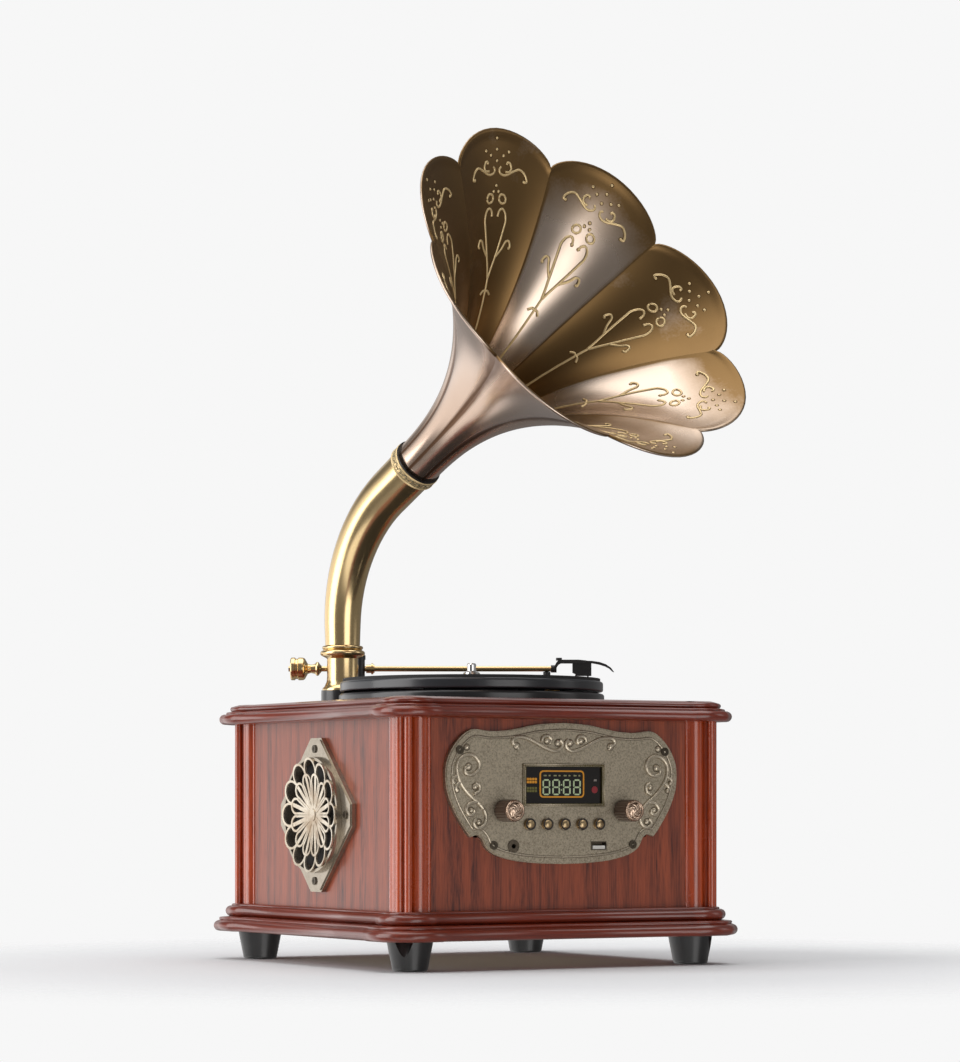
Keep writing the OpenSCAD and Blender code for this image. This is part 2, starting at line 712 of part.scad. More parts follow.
// Cylinder along the arm, from a to b
module along_arm(r, a, b, z = z_arm) {
    translate([a, 0, z]) rotate([0, 90, 0]) cylinder(r = r, h = b - a);
}
module tonearm_base() color("#1a1a1a") placed() {
    on_arm() difference() {
        union() {
            rod(turret_r + 0.4, z_deck, z_deck + 3);
            rod(turret_r - 1, z_deck + 2, turret_low - cheek_gap);
            rod(pivot_spigot_r + 1.5 - seat_c, z_top + 0.5, z_deck + 1);
        }
        rod(pivot_spigot_r + run_c, z_top + 3, turret_low + 1);
    }
}
module tonearm_turret() color("#181818") placed() {
    on_arm() {
        difference() {
            union() {
                rod(pivot_spigot_r, z_top + 4, turret_low + 1);
                rod(turret_r, turret_low, turret_high - 2);
                translate([0, 0, turret_high - 2]) cylinder(r1 = turret_r, r2 = turret_r - 2, h = 2);
            }
            translate([-turret_r - 1, -slot_w / 2, turret_low + turret_floor])
                cube([2 * turret_r + 2, slot_w, slot_top - turret_low - turret_floor]);
        }
        translate([0, 0, z_arm]) rotate([90, 0, 0]) rod(pin_r, -slot_w / 2 - 1, slot_w / 2 + 1);
    }
}
module tonearm_tube() color("goldenrod") placed() {
    boss = slot_w / 2 - cheek_gap;
    on_arm() difference() {
        union() {
            along_arm(arm_r, 4, shell_at);
            along_arm(arm_r, -weight_at - 1.5, -4);
            translate([0, 0, z_arm]) rotate([90, 0, 0]) rod(5.2, -boss, boss);
            along_arm(3.4, stub_start, stub_start + 6.6);
            along_arm(4.4, stub_start + 4, stub_start + 5.6);
        }
        translate([0, 0, z_arm]) rotate([90, 0, 0]) rod(pin_r + run_c, -slot_w, slot_w);
    }
}
module counterweight() color("goldenrod") placed() {
    a = -weight_at;
    on_arm() translate([0, 0, z_arm]) rotate([0, 90, 0]) rotate_extrude() polygon(concat(
        [[arm_r + run_c, a], [weight_r - 1.6, a]],
        arc([weight_r - 1.2, a + 1.4], 1.2, -70, 0, 3),
        [[weight_r, a + 3.6], [weight_r - 0.9, a + 4.2], [weight_r - 0.9, a + 6], [weight_r, a + 6.6]],
        arc([weight_r - 3, a + 9.4], 3, 0, 75, 4),
        [[4, a + 14], [3.3, a + 16.4], [3.8, a + weight_l - 6.4]],
        arc([3.9, a + weight_l - 3.4], 1.7, -80, 80, 5),
        [[arm_r + run_c, a + weight_l]]));
}
module headshell() color("#151515") placed() {
    low = cart_top;
    finger = [[27, 6.6], [33, 6.3], [39, 5.4], [44, 3.6], [48, 0.8], [50.5, -2.8], [49, -2.2],
        [46.5, 0.2], [43, 2], [38.5, 3.4], [33, low], [27, low]];
    plate_w = 9;
    on_arm() translate([shell_at, 0, z_arm]) {
        rotate([0, 90, 0]) cylinder(r = arm_r + 0.8, h = shell_block);
        rotate([90, 0, 0]) translate([0, 0, -plate_w / 2]) linear_extrude(plate_w)
            polygon(stretched([[2.2, 1], [4.6, 5.6], [7, 7.2], [22, 7.2], [28, 6.6], [28, low], [8, low],
                [6.2, 3.4], [4.6, 1]], shell_k));
        rotate([90, 0, 0]) translate([0, 0, -1.5]) linear_extrude(3) polygon(stretched(finger, shell_k));
        translate([6.4 * shell_k, 0, 6.6]) cylinder(r = 2.4, h = 2.2);
    }
}
module cartridge() color("#101010") placed() {
    cart_w = 8;
    on_arm() translate([0, 0, z_arm]) {
        difference() {
            translate([arm_len - 0.82 * cart_l, -cart_w / 2, -5.6]) cube([cart_l, cart_w, cart_top + 5.6]);
            translate([arm_len - 1.06 * cart_l, -cart_w, -8]) rotate([0, 25, 0]) cube([4, 2 * cart_w, 6]);
        }
        translate([arm_len, 0, -9.4]) cylinder(r1 = 0.15, r2 = stylus_r, h = 4);
    }
}
module arm_rest() color("#1d1d1d") placed() {
    prong_t = 1.4;
    on_arm() translate([rest_at, 0, 0]) {
        rod(rest_r, z_deck, z_arm - arm_r - rest_gap);
        rod(rest_r + rest_foot, z_deck, z_deck + 1.5);
        translate([-1.6, arm_r + rest_gap, z_arm - arm_r - rest_gap - 4]) cube([3.2, prong_t, arm_r + 5]);
        translate([-1.6, 0, z_arm - arm_r - rest_gap - 4]) cube([3.2, arm_r + 1, 4]);
    }
}

module horn_pillar() color("goldenrod") placed() {
    lip = 17.7;
    z = z_pillar;
    t = z_elbow;
    translate(pillar_pos) rotate_extrude($fn = 64) polygon(concat(
        [[sound_r, z], [flange_r - 0.8, z], [flange_r - 1, z + 1.6], [pillar_r + 2, z + 3.4],
            [pillar_r + 0.4, z + 7], [pillar_r, z + 11], [pillar_r, t - 10.4], [pillar_r + 1.6, t - 9.4]],
        arc([lip - 2.2, t - 6.2], 2.2, -70, 70, 6),
        [[lip - 2.6, t - 3.6]],
        arc([lip - 3, t - 1.8], 1.5, -60, 80, 5),
        [[spigot_r + run_c, t], [spigot_r + run_c, t - spigot_l - 1], [sound_r, t - spigot_l - 1]]));
}

// Rings of the elbow along its centre line, in the plane of the bend
elbow_steps = 16;
elbow_straight = 4;
function elbow_frame(i) = i <= elbow_straight
    ? [0, z_elbow + elbow_rise * i / elbow_straight, 0]
    : i <= elbow_straight + elbow_steps
        ? let (a = bend_angle * (i - elbow_straight) / elbow_steps)
            [elbow_bend * (1 - cos(a)), z_elbow + elbow_rise + elbow_bend * sin(a), a]
        : [elbow_end[0], elbow_end[1], bend_angle];
elbow_last = elbow_straight + elbow_steps + 1;
function elbow_r(i) = elbow_r0 + (elbow_r1 - elbow_r0) * pow(i / elbow_last, 1.3);
function elbow_ring(i, r, n) = let (f = elbow_frame(i))
    [for (k = [0:n - 1]) let (a = 360 * k / n)
        [f[0] + r * cos(a) * cos(f[2]), r * sin(a), f[1] - r * cos(a) * sin(f[2])]];
// Closed tube wall from a list of outer rings and a list of inner rings
module wall_solid(outer, inner) {
    n = len(outer[0]);
    m = len(outer);
    o = n * m;
    polyhedron(
        points = concat([for (r = outer) each r], [for (r = inner) each r]),
        faces = concat(
            [for (i = [0:m - 2]) for (j = [0:n - 1]) let (k = (j + 1) % n)
                each [[i * n + j, (i + 1) * n + j, (i + 1) * n + k], [i * n + j, (i + 1) * n + k, i * n + k]]],
            [for (i = [0:m - 2]) for (j = [0:n - 1]) let (k = (j + 1) % n)
                each [[o + i * n + j, o + (i + 1) * n + k, o + (i + 1) * n + j],
                    [o + i * n + j, o + i * n + k, o + (i + 1) * n + k]]],
            [for (j = [0:n - 1]) let (k = (j + 1) % n) each [[j, k, o + k], [j, o + k, o + j]]],
            [for (j = [0:n - 1]) let (k = (j + 1) % n, e = (m - 1) * n)
                each [[e + j, o + e + k, e + k], [e + j, o + e + j, o + e + k]]]));
}
module at_pillar() {
    translate(pillar_pos) rotate([0, 0, horn_az]) children();
}
module elbow_tube() color("goldenrod") placed() {
    sides = 32;
    at_pillar() {
        wall_solid(
            [for (i = [0:elbow_last]) elbow_ring(i, elbow_r(i), sides)],
            [for (i = [0:elbow_last]) elbow_ring(i, elbow_r(i) - sheet_t, sides)]);
        ring(elbow_r0 - 0.3, spigot_r - sheet_t, z_elbow, z_elbow + 1.5);
        ring(spigot_r, spigot_r - sheet_t, z_elbow - spigot_l, z_elbow + 1);
    }
}
// Local frame of the horn: Z along its axis from the end of the elbow
module at_neck() {
    at_pillar() translate([elbow_end[0], 0, elbow_end[1]]) rotate([0, bend_angle, 0]) children();
}
module elbow_collar() color("darkgoldenrod") placed() {
    at_neck() rotate_extrude($fn = 64) polygon(concat(
        [[elbow_r1 + seat_c, -collar_l]],
        arc([collar_r - 1, -collar_l + 1.2], 1.2, -90, 0, 3),
        [[collar_r - 0.3, -collar_l + 2], [collar_r - 0.3, -2]],
        arc([collar_r - 1, -1.2], 1.2, 0, 70, 3),
        [[elbow_r1 + seat_c, 0]]));
}
module horn_gasket() color("#0e0e0e") placed() {
    at_neck() ring(collar_r - 0.2, neck_wall_r + seat_c, 0, gasket_t);
}
// Radius of the horn's outer face at s along its axis
function flare_r(s) = neck_r + (mouth_r - neck_r) * pow(max(s, 0) / horn_l, flare);
petal_steps = 8;
horn_steps = 20;
roll_at = 0.988;
petal_angle = 360 / petals;
// Point of the horn at petal position u (-1 to 1) and row fraction v (0 to 1)
function horn_point(k, u, v, inset) = let (
    s_end = horn_l + petal_l * pow(max(1 - u * u, 0), 0.7),
    s = horn_start + (s_end - horn_start) * v,
    swell = 1 + (petal_swell * v + 4 * petal_fold * v * (1 - v)) * (1 - u * u),
    slope = flare * (mouth_r - neck_r) / horn_l * pow(s / horn_l, flare - 1),
    n = sqrt(1 + slope * slope),
    r = flare_r(s) * swell - inset / n,
    a = petal_turn + petal_angle * (k + u / 2 + 0.5))
    [r * cos(a), r * sin(a), s + inset * slope / n];
function horn_ring(v, inset) = [for (k = [0:petals - 1]) for (j = [0:petal_steps - 1])
    horn_point(k, 2 * j / petal_steps - 1, v, inset)];
function row(i) = i == horn_steps ? 1 : roll_at * (1 - pow(1 - i / (horn_steps - 1), 1.25));
module horn() color("peru") placed() {
    at_neck() {
        wall_solid(
            [for (i = [0:horn_steps]) horn_ring(row(i), i < horn_steps ? 0 : -rim_roll)],
            [for (i = [0:horn_steps]) horn_ring(row(i), i < horn_steps ? sheet_t : sheet_t + rim_roll)]);
        ring(neck_wall_r, neck_wall_r - sheet_t, -neck_in, horn_start + 2);
        ring(neck_r - sheet_t / 2, neck_wall_r - sheet_t, horn_start, horn_start + 2);
    }
}
module horn_driver() color("#303030") placed() {
    driver_r = 14;
    translate(pillar_pos) difference() {
        union() {
            rod(driver_r, z_top - 5, z_top);
            rod(driver_r - 3, z_top - 16, z_top - 4);
            rod(driver_r - 1, z_top - 26, z_top - 15);
        }
        rod(sound_r - 1, z_top - 12, z_top + 1);
    }
}

// Half outline of the control plate, from top middle round to bottom middle
plate_upper = [[0, 1], [0.22, 0.972], [0.45, 0.892], [0.62, 0.871], [0.765, 0.895], [0.85, 0.82],
    [0.93, 0.66], [0.985, 0.46], [1, 0.26], [0.985, 0.02], [0.925, -0.25], [0.84, -0.5], [0.79, -0.615]];
plate_lower = [[0.79, -0.615], [0.735, -0.585], [0.695, -0.64], [0.672, -0.73], [0.64, -0.8],
    [0.56, -0.88], [0.4, -0.952], [0.2, -0.988], [0, -1]];
plate_half = concat(smooth(plate_upper, 4), smooth(plate_lower, 3), [plate_lower[len(plate_lower) - 1]]);
module plate_outline(inset) {
    half = [for (p = plate_half) [p[0] * (plate_hw - inset), p[1] * (plate_hh - inset)]];
    polygon(concat(half, [for (i = [len(half) - 2:-1:1]) [-half[i][0], half[i][1]]]));
}
module control_plate() color("dimgray") placed() {
    bevel = 0.9;
    difference() {
        at_front(0, z_plate, hw) {
            linear_extrude(plate_t - bevel) plate_outline(0);
            linear_extrude(plate_t) plate_outline(bevel);
        }
        at_front(0, z_display, hw) translate([-display_w / 2, -display_h / 2, display_seat])
            cube([display_w, display_h, plate_t]);
        at_front(0, z_display, hw) translate([-window_w / 2, -window_h / 2, -1])
            cube([window_w, window_h, plate_t + 2]);
        for (x = [-1, 1]) at_front(x * knob_at, z_knob, hw) rod(3.6 + seat_c, -1, plate_t + 1);
        for (i = [0:button_n - 1]) at_front((i - (button_n - 1) / 2) * button_pitch, z_button, hw) {
            rod(button_r + run_c, -1, plate_t + 1);
            rod(button_r + 1.2, plate_t - 0.7, plate_t + 1);
        }
        at_front(aux_x, z_socket, hw) rod(3.2 + seat_c, -1, plate_t + 1);
        at_front(usb_x, z_socket, hw) translate([-usb_w / 2 - seat_c, -usb_h / 2 - seat_c, -1])
            cube([usb_w + 2 * seat_c, usb_h + 2 * seat_c, plate_t + 2]);
        plate_screw_places() pilot();
    }
}
module display_frame() color("olive") placed() {
    proud = 1;
    at_front(0, z_display, hw + display_seat) difference() {
        translate([-display_w / 2 + seat_c / 2, -display_h / 2 + seat_c / 2, 0])
            cube([display_w - seat_c, display_h - seat_c, plate_t - display_seat + proud]);
        translate([-window_w / 2, -window_h / 2, -1]) cube([window_w, window_h, plate_t + 2]);
    }
}
module display_window() color("#20140a") placed() {
    at_front(0, z_display, hw + display_seat) translate([-window_w / 2 + seat_c / 2, -window_h / 2 + seat_c / 2, 0])
        cube([window_w - seat_c, window_h - seat_c, 1.6]);
}
// Knob body with finger flutes and its stub shaft, local Z out of the plate
module knob_body() {
    flutes = 20;
    gap = 0.6;
    difference() {
        union() {
            translate([0, 0, gap]) linear_extrude(knob_l - 2.4) difference() {
                circle(knob_r);
                for (i = [0:flutes - 1]) rotate(360 * i / flutes) translate([knob_r + 0.35, 0]) circle(0.8);
            }
            rod(3, -plate_t - 12, gap + 1);
        }
        rod(knob_r - 2.4, knob_l - 4.2, knob_l + 1);
    }
}
module knob_cap() {
    top = knob_l;
    difference() {
        union() {
            rod(knob_r - 2.4 - seat_c / 2, knob_l - 4.2, knob_l - 1.8);
            rotate_extrude() polygon(concat(
                [[0, top - 1.8], [knob_r - 0.5, top - 1.8]],
                arc([knob_r - 1.7, top - 1.2], 1.2, 0, 90, 4),
                [[knob_r - 3, top - 0.9], [knob_r - 4, top - 0.4], [0, top + 0.6]]));
        }
    }
}
module knob_left() color("#3a2216") placed() at_front(-knob_at, z_knob, plate_y) knob_body();
module knob_right() color("#3a2216") placed() at_front(knob_at, z_knob, plate_y) knob_body();
module knob_cap_left() color("peru") placed() at_front(-knob_at, z_knob, plate_y) knob_cap();
module knob_cap_right() color("peru") placed() at_front(knob_at, z_knob, plate_y) knob_cap();
module potentiometers() color("silver") placed() {
    for (x = [-1, 1]) at_front(x * knob_at, z_knob, hw) difference() {
        union() {
            rod(3.6, -9, plate_t - 0.6);
            rod(7.5, -11 - 7, -8.5);
        }
        rod(3 + run_c, -13.6, plate_t + 1);
    }
}
module button(i) {
    rear = board_front + button_travel + 0.2;
    at_front((i - (button_n + 1) / 2) * button_pitch, z_button, hw) {
        rotate_extrude() polygon(concat(
            [[0, rear], [button_r, rear], [button_r, plate_t + button_out - 1.6]],
            arc([button_r - 1.6, plate_t + button_out - 1.6], 1.6, 15, 90, 4),
            [[0, plate_t + button_out]]));
        rod(button_r + 0.9, -0.3 - button_flange, -0.3);
    }
}
module button_1() color("burlywood") placed() button(1);
module button_2() color("burlywood") placed() button(2);
module button_3() color("burlywood") placed() button(3);
module button_4() color("burlywood") placed() button(4);
module button_5() color("burlywood") placed() button(5);
module front_sockets() color("silver") placed() {
    aux_jack();
    usb_port();
}
module aux_jack() {
    at_front(aux_x, z_socket, hw) difference() {
        union() {
            rod(3.2, board_front, plate_t + 0.4);
            rod(4.8, plate_t, plate_t + 0.7);
        }
        rod(aux_r, board_front + 1, plate_t + 2);
    }
}
module usb_port() {
    at_front(usb_x, z_socket, hw) {
        difference() {
            translate([-usb_w / 2, -usb_h / 2, board_front]) cube([usb_w, usb_h, plate_t + 0.3 - board_front]);
            translate([-usb_w / 2 + usb_wall, -usb_h / 2 + usb_wall, board_front + 1])
                cube([usb_w - 2 * usb_wall, usb_h - 2 * usb_wall, 20 + plate_t]);
        }
        translate([-usb_w / 2 + 1, usb_h / 2 - 2.4, board_front + 0.5]) cube([usb_w - 2, 1.9, -board_front]);
    }
}
// Circuit board behind the plate, with the display standing on it
module control_board() color("darkgreen") placed() {
    difference() {
        at_front(0, z_plate, board_y)
            translate([-board_hw, -0.85 * plate_hh, 0]) cube([2 * board_hw, 1.38 * plate_hh, board_t]);
        for (x = [-1, 1]) at_front(x * knob_at, z_knob, board_y) rod(8, -1, 3);
    }
    at_front(0, z_display, hw) translate([-window_w / 2 + 2, -window_h / 2 + 1, board_front])
        cube([window_w - 4, window_h - 2, display_seat - board_front]);
}

// Square on its corner with blunt tips
module diamond(r, tip) {
    polygon([for (q = [0:3]) each [
        [r * cos(90 * q) + tip * sin(90 * q), r * sin(90 * q) - tip * cos(90 * q)],
        [r * cos(90 * q) - tip * sin(90 * q), r * sin(90 * q) + tip * cos(90 * q)]]]);
}
module grille(turn) {
    difference() {
        on_face(turn, hw, grille_z) difference() {
            union() {
                linear_extrude(grille_t - 1) diamond(diamond_r, diamond_tip);
                linear_extrude(grille_t) diamond(diamond_r - 1.4, diamond_tip - 0.6);
                rod(grille_hole_r + lip_w, 1, z_cup);
            }
            rod(grille_hole_r, -1, z_cup + 1);
        }
        grille_screw_places(turn) pilot();
    }
}
module grille_left() color("dimgray") placed() grille(-90);
module grille_right() color("dimgray") placed() grille(90);
// A loop of the flower: a strip bent to a teardrop from the boss out to its tip
module loop_2d(tip, r) {
    rise = tip - r;
    difference() {
        union() {
            translate([rise, 0]) circle(r);
            polygon([[3, -strip_w / 2], [rise, -r], [rise, r], [3, strip_w / 2]]);
        }
        translate([rise, 0]) circle(r - strip_w);
        polygon([[3 + 2 * strip_w, 0], [rise, -r + strip_w], [rise, r - strip_w]]);
    }
}
module loops_2d(tip, r, phase) {
    for (i = [0:flower_n - 1]) rotate((i + phase) * 360 / flower_n) loop_2d(tip, r);
}
// Dish of thickness t whose under side rests on the cup's inner edge, at local z = 0
module dish(t) {
    difference() {
        translate([0, 0, dish_r - flower_dish]) sphere(dish_r, $fn = 96);
        translate([0, 0, dish_r - flower_dish]) sphere(dish_r - t, $fn = 96);
    }
}
module flower(turn) {
    low = -flower_dish - 1;
    on_face(turn, hw + z_cup, grille_z) {
        intersection() {
            dish(flower_t);
            translate([0, 0, low]) linear_extrude(3 * flower_dish) loops_2d(flower_tip, flower_tip * 0.215, 0);
        }
        intersection() {
            translate([0, 0, 0.3]) dish(flower_t);
            translate([0, 0, low]) linear_extrude(3 * flower_dish) loops_2d(flower_tip * 0.74, flower_tip * 0.15, 0.5);
        }
        rod(flower_boss_r, 0.2 - flower_dish, flower_t + 0.9 - flower_dish);
    }
}
module flower_left() color("lightgray") placed() flower(-90);
module flower_right() color("lightgray") placed() flower(90);

module speaker_baskets() color("#2c2c2c") placed() {
    for (a = [-90, 90]) on_face(a, inner_hw, grille_z) {
        rotate_extrude($fn = 64) polygon([
            [cone_r + 1, -3], [cone_r + 6, -3], [cone_r + 6, 0], [panel_hole_r - 2, 0],
            [panel_hole_r - 2, -1], [cone_r + 1, -1]]);
        rotate_extrude() polygon([[cone_r + 1, -1.5], [cone_r + 1, -3], [18, -basket_l], [15, -basket_l], [15, -basket_l + 2],
            [cone_r - 3, -1.5]]);
        ring(magnet_r, 10, -basket_l - 12, -basket_l);
        rod(magnet_r, -basket_l - 15, -basket_l - 12);
        rod(8, -basket_l - 12, -basket_l - 1);
    }
}
module speaker_cones() color("#141414") placed() {
    skin = 1;
    for (a = [-90, 90]) on_face(a, inner_hw, grille_z) {
        rotate_extrude($fn = 64) polygon(concat(
            [[9, 4 - basket_l], [cone_r - 5, 0]],
            arc([cone_r - 2, 0.4], 2.6, 180, 0, 8),
            [[cone_r + 3, 0.6], [cone_r + 3, 0.05], [cone_r - 3.6, 0.05], [9 + skin, 3 - basket_l], [0, 3 - basket_l],
                [0, 6 - basket_l + 3], [5, 6 - basket_l + 2], [8, 5 - basket_l]]));
    }
}
module amplifier_board() color("darkgreen") placed() {
    z = z_inside;
    translate(amp_pos) {
        block(board_w, board_d, z + 6, z + 6 + board_t);
        for (x = [-1, 1]) for (y = [-1, 1])
            translate([x * (board_w / 2 - 5), y * (board_d / 2 - 5), 0]) rod(2.5, z, z + 6.5);
        translate([-sink_w / 2, board_d / 4, 0]) {
            for (i = [0:5]) translate([(i - 2.5) * sink_w / 5.6, 0, 0]) block(2, sink_d, z + 7, z + sink_h);
            block(sink_w, sink_d + 2, z + 7, z + 10);
        }
        for (x = [0.4, 0.7]) translate([x * board_w / 2, -board_d / 4, 0]) rod(can_r, z + 7, z + sink_h);
    }
}
module transformer() color("gray") placed() {
    z = z_inside;
    translate(coil_pos) {
        block(core_w, core_d, z, z + core_h);
        block(core_w + 14, 0.55 * core_d, z, z + 2.5);
        block(0.6 * core_w, core_d + 16, z + core_h / 6, z + core_h * 0.83);
    }
}

bottom_board();
base_moulding();
front_panel();
rear_panel();
left_panel();
right_panel();
corner_posts();
top_moulding();
top_board();
feet();
screws();
rear_plate();
power_inlet();
line_out_jacks();
switch_housing();
power_switch();
deck_plate();
platter();
platter_mat();
spindle();
spindle_bearing();
motor();
motor_pulley();
drive_belt();
tonearm_base();
tonearm_turret();
tonearm_tube();
counterweight();
headshell();
cartridge();
arm_rest();
horn_pillar();
elbow_tube();
elbow_collar();
horn_gasket();
horn();
horn_driver();
control_plate();
display_frame();
display_window();
knob_left();
knob_right();
knob_cap_left();
knob_cap_right();
potentiometers();
button_1();
button_2();
button_3();
button_4();
button_5();
front_sockets();
control_board();
grille_left();
grille_right();
flower_left();
flower_right();
speaker_baskets();
speaker_cones();
amplifier_board();
transformer();
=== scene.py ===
# %% [markdown]
# # A table-top gramophone with a brass flower horn
# The real object is an electric record player in an old shape: a wooden cabinet with moulded edges,
# a black turntable, a thin brass tonearm, and a horn of eight brass petals on a bent elbow.
# The measured solids come first. This lesson keeps their sizes and gives them finishes, and adds the
# fine work that a solid leaves out: embossed scrolls, beads, lit digits, wood grain and worn metal.

# %% Load the measured solids
import math

import bmesh
import bpy
from mathutils import Matrix, Vector


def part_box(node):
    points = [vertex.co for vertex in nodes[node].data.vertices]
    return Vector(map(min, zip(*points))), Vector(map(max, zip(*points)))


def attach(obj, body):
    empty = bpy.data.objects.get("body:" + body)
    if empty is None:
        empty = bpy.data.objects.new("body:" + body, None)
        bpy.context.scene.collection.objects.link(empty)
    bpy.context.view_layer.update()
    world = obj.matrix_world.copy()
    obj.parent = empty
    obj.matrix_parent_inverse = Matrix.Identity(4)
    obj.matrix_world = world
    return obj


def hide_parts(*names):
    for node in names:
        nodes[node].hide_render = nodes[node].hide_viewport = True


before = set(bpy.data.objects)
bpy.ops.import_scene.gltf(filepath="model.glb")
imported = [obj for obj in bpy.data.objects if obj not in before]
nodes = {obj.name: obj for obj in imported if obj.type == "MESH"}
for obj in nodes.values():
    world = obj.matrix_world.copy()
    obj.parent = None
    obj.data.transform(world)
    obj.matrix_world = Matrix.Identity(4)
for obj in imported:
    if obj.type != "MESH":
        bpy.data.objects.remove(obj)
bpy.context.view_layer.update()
scene = bpy.context.scene
MM = 0.001

# %% [markdown]
# Every place below is measured from the turntable's spindle, because that is where a builder of
# players starts. The platter's own box gives the spindle's place, so nothing here has to be changed
# when the cabinet moves. Lengths are written in millimetres and turned into metres by a helper.

# %% Places that the pieces share
low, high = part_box("platter")
SPINDLE = Vector(((low.x + high.x) / 2, (low.y + high.y) / 2, 0))


def at(x, y, z):
    """A point in millimetres from the spindle axis and the floor, in metres."""
    return SPINDLE + Vector((x, y, z)) * MM


def box_mm(node):
    """Lowest and highest corner of a solid, in millimetres from the spindle axis and the floor."""
    return [(corner - SPINDLE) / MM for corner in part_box(node)]


def polar(radius, turn):
    """The two coordinates of a point at a distance and a turn in degrees."""
    a = math.radians(turn)
    return radius * math.cos(a), radius * math.sin(a)


PANEL = -box_mm("front_panel")[0].y
PLATE_FRONT = -box_mm("control_plate")[0].y
print("panel face", round(PANEL, 2), "plate face", round(PLATE_FRONT, 2))

# %% [markdown]
# ## Camera
# The photograph was taken from the height of the cabinet, thirty degrees to its left, with a long
# lens, so upright edges stay upright. A level camera with its picture shifted up gives the same:
# tilting it instead would make the cabinet lean.

# %% Camera
FRAME_W, FRAME_H = 960, 1062
FOCAL_PX = 3367.0
MIDDLE_PX = (471.5, 808.4)
CAMERA_AT, CAMERA_TURN, SENSOR = (-1299.7, -2251.1, 117.9), -30, 36
camera_data = bpy.data.cameras.new("camera")
camera = bpy.data.objects.new("camera", camera_data)
scene.collection.objects.link(camera)
scene.camera = camera
camera.location = at(*CAMERA_AT)
camera.rotation_euler = (math.radians(90), 0, math.radians(CAMERA_TURN))
camera_data.sensor_width = SENSOR
camera_data.lens = FOCAL_PX / FRAME_H * SENSOR
camera_data.shift_x = (FRAME_W / 2 - MIDDLE_PX[0]) / FRAME_H
camera_data.shift_y = (MIDDLE_PX[1] - FRAME_H / 2) / FRAME_H
camera_data.clip_end = 50
shift = [round(value, 4) for value in (camera_data.shift_x, camera_data.shift_y)]
print("lens", round(camera_data.lens, 2), "shift", shift)

# %% [markdown]
# ## Helpers for finishes
# Every finish below is a small network of shader nodes. A few helpers keep the cells short: one sets
# up a material, one adds a node and fills its sockets with values or with links, and some do sums.
# The places on the surface come from Object coordinates, which move with the piece when a joint moves.

# %% Materials, nodes and links
def new_finish(name):
    """An empty material with its node tree and its Principled shader."""
    finish = bpy.data.materials.new(name)
    finish.use_nodes = True
    return finish, finish.node_tree, finish.node_tree.nodes["Principled BSDF"]


def fill(tree, socket, value):
    """Links an output to a socket, or sets the socket's own value."""
    if isinstance(value, bpy.types.NodeSocket):
        tree.links.new(value, socket)
    else:
        socket.default_value = value


def fill_row(tree, sockets, values):
    """Fills sockets in their order."""
    for socket, value in zip(sockets, values):
        fill(tree, socket, value)


def connect(tree, node, **sockets):
    """Fills sockets of a node by name. Underscores stand for spaces."""
    for name, value in sockets.items():
        fill(tree, node.inputs[name.replace("_", " ")], value)


def put(tree, kind, settings=None, **sockets):
    """Adds a node with its settings and sockets."""
    node = tree.nodes.new(kind)
    for name, value in (settings or {}).items():
        setattr(node, name, value)
    connect(tree, node, **sockets)
    return node


print("materials before the lesson:", len(bpy.data.materials))

# %% Sums, mixes and textures
VECTOR_MATHS = "ShaderNodeVectorMath"


def maths(tree, operation, *values, kind="ShaderNodeMath"):
    """Output of a Math node, or of a Vector Math node."""
    node = put(tree, kind, {"operation": operation})
    fill_row(tree, node.inputs, values)
    return node.outputs[0]


def times(tree, first, second):
    """Output of first times second."""
    return maths(tree, "MULTIPLY", first, second)


def plus(tree, first, second):
    """Output of first plus second."""
    return maths(tree, "ADD", first, second)


def minus(tree, first, second):
    """Output of first minus second."""
    return maths(tree, "SUBTRACT", first, second)


def noise(tree, where, scale, detail, roughness=0.5, output="Fac"):
    """Output of a Noise texture."""
    cloud = put(tree, "ShaderNodeTexNoise", Vector=where, Scale=scale, Detail=detail, Roughness=roughness)
    return cloud.outputs[output]


def soft_step(tree, value, start, end):
    """0 before start, 1 after end, smooth between them; start may be the larger one."""
    step = put(tree, "ShaderNodeMapRange", {"interpolation_type": "SMOOTHSTEP"}, Value=value,
               From_Min=min(start, end), From_Max=max(start, end)).outputs["Result"]
    return step if start < end else minus(tree, 1.0, step)


def blend_colour(tree, factor, first, second):
    """Output of a colour mix from first to second."""
    node = put(tree, "ShaderNodeMix", {"data_type": "RGBA"})
    fill_row(tree, (node.inputs[0], node.inputs[6], node.inputs[7]), (factor, first, second))
    return node.outputs[2]


def ramp(tree, value, *stops):
    """Output of a colour ramp with grey stops of (place, shade)."""
    node = put(tree, "ShaderNodeValToRGB", Fac=value)
    steps = node.color_ramp.elements
    for step, (place, shade) in zip((steps[0], steps[1]), (stops[0], stops[-1])):
        step.position, step.color = place, (shade, shade, shade, 1)
    for place, shade in stops[1:-1]:
        steps.new(place).color = (shade, shade, shade, 1)
    return node.outputs["Color"]


def rgb(red, green, blue):
    """A colour as the eye reads it, 0 to 255, turned into the linear colour that shaders use."""
    linear = [((c / 255 + 0.055) / 1.055) ** 2.4 if c > 10 else c / 3295 for c in (red, green, blue)]
    return (*linear, 1)


print("a mid brown is", [round(c, 3) for c in rgb(150, 75, 55)])

# %% Node groups
def new_group(name, inputs, outputs):
    """A shader node group with named sockets: its tree, its group input and its group output."""
    group = bpy.data.node_groups.new(name, "ShaderNodeTree")
    for in_out, sockets in (("INPUT", inputs), ("OUTPUT", outputs)):
        for label, kind in sockets.items():
            group.interface.new_socket(name=label, in_out=in_out, socket_type="NodeSocket" + kind)
    return group, group.nodes.new("NodeGroupInput").outputs, group.nodes.new("NodeGroupOutput").inputs


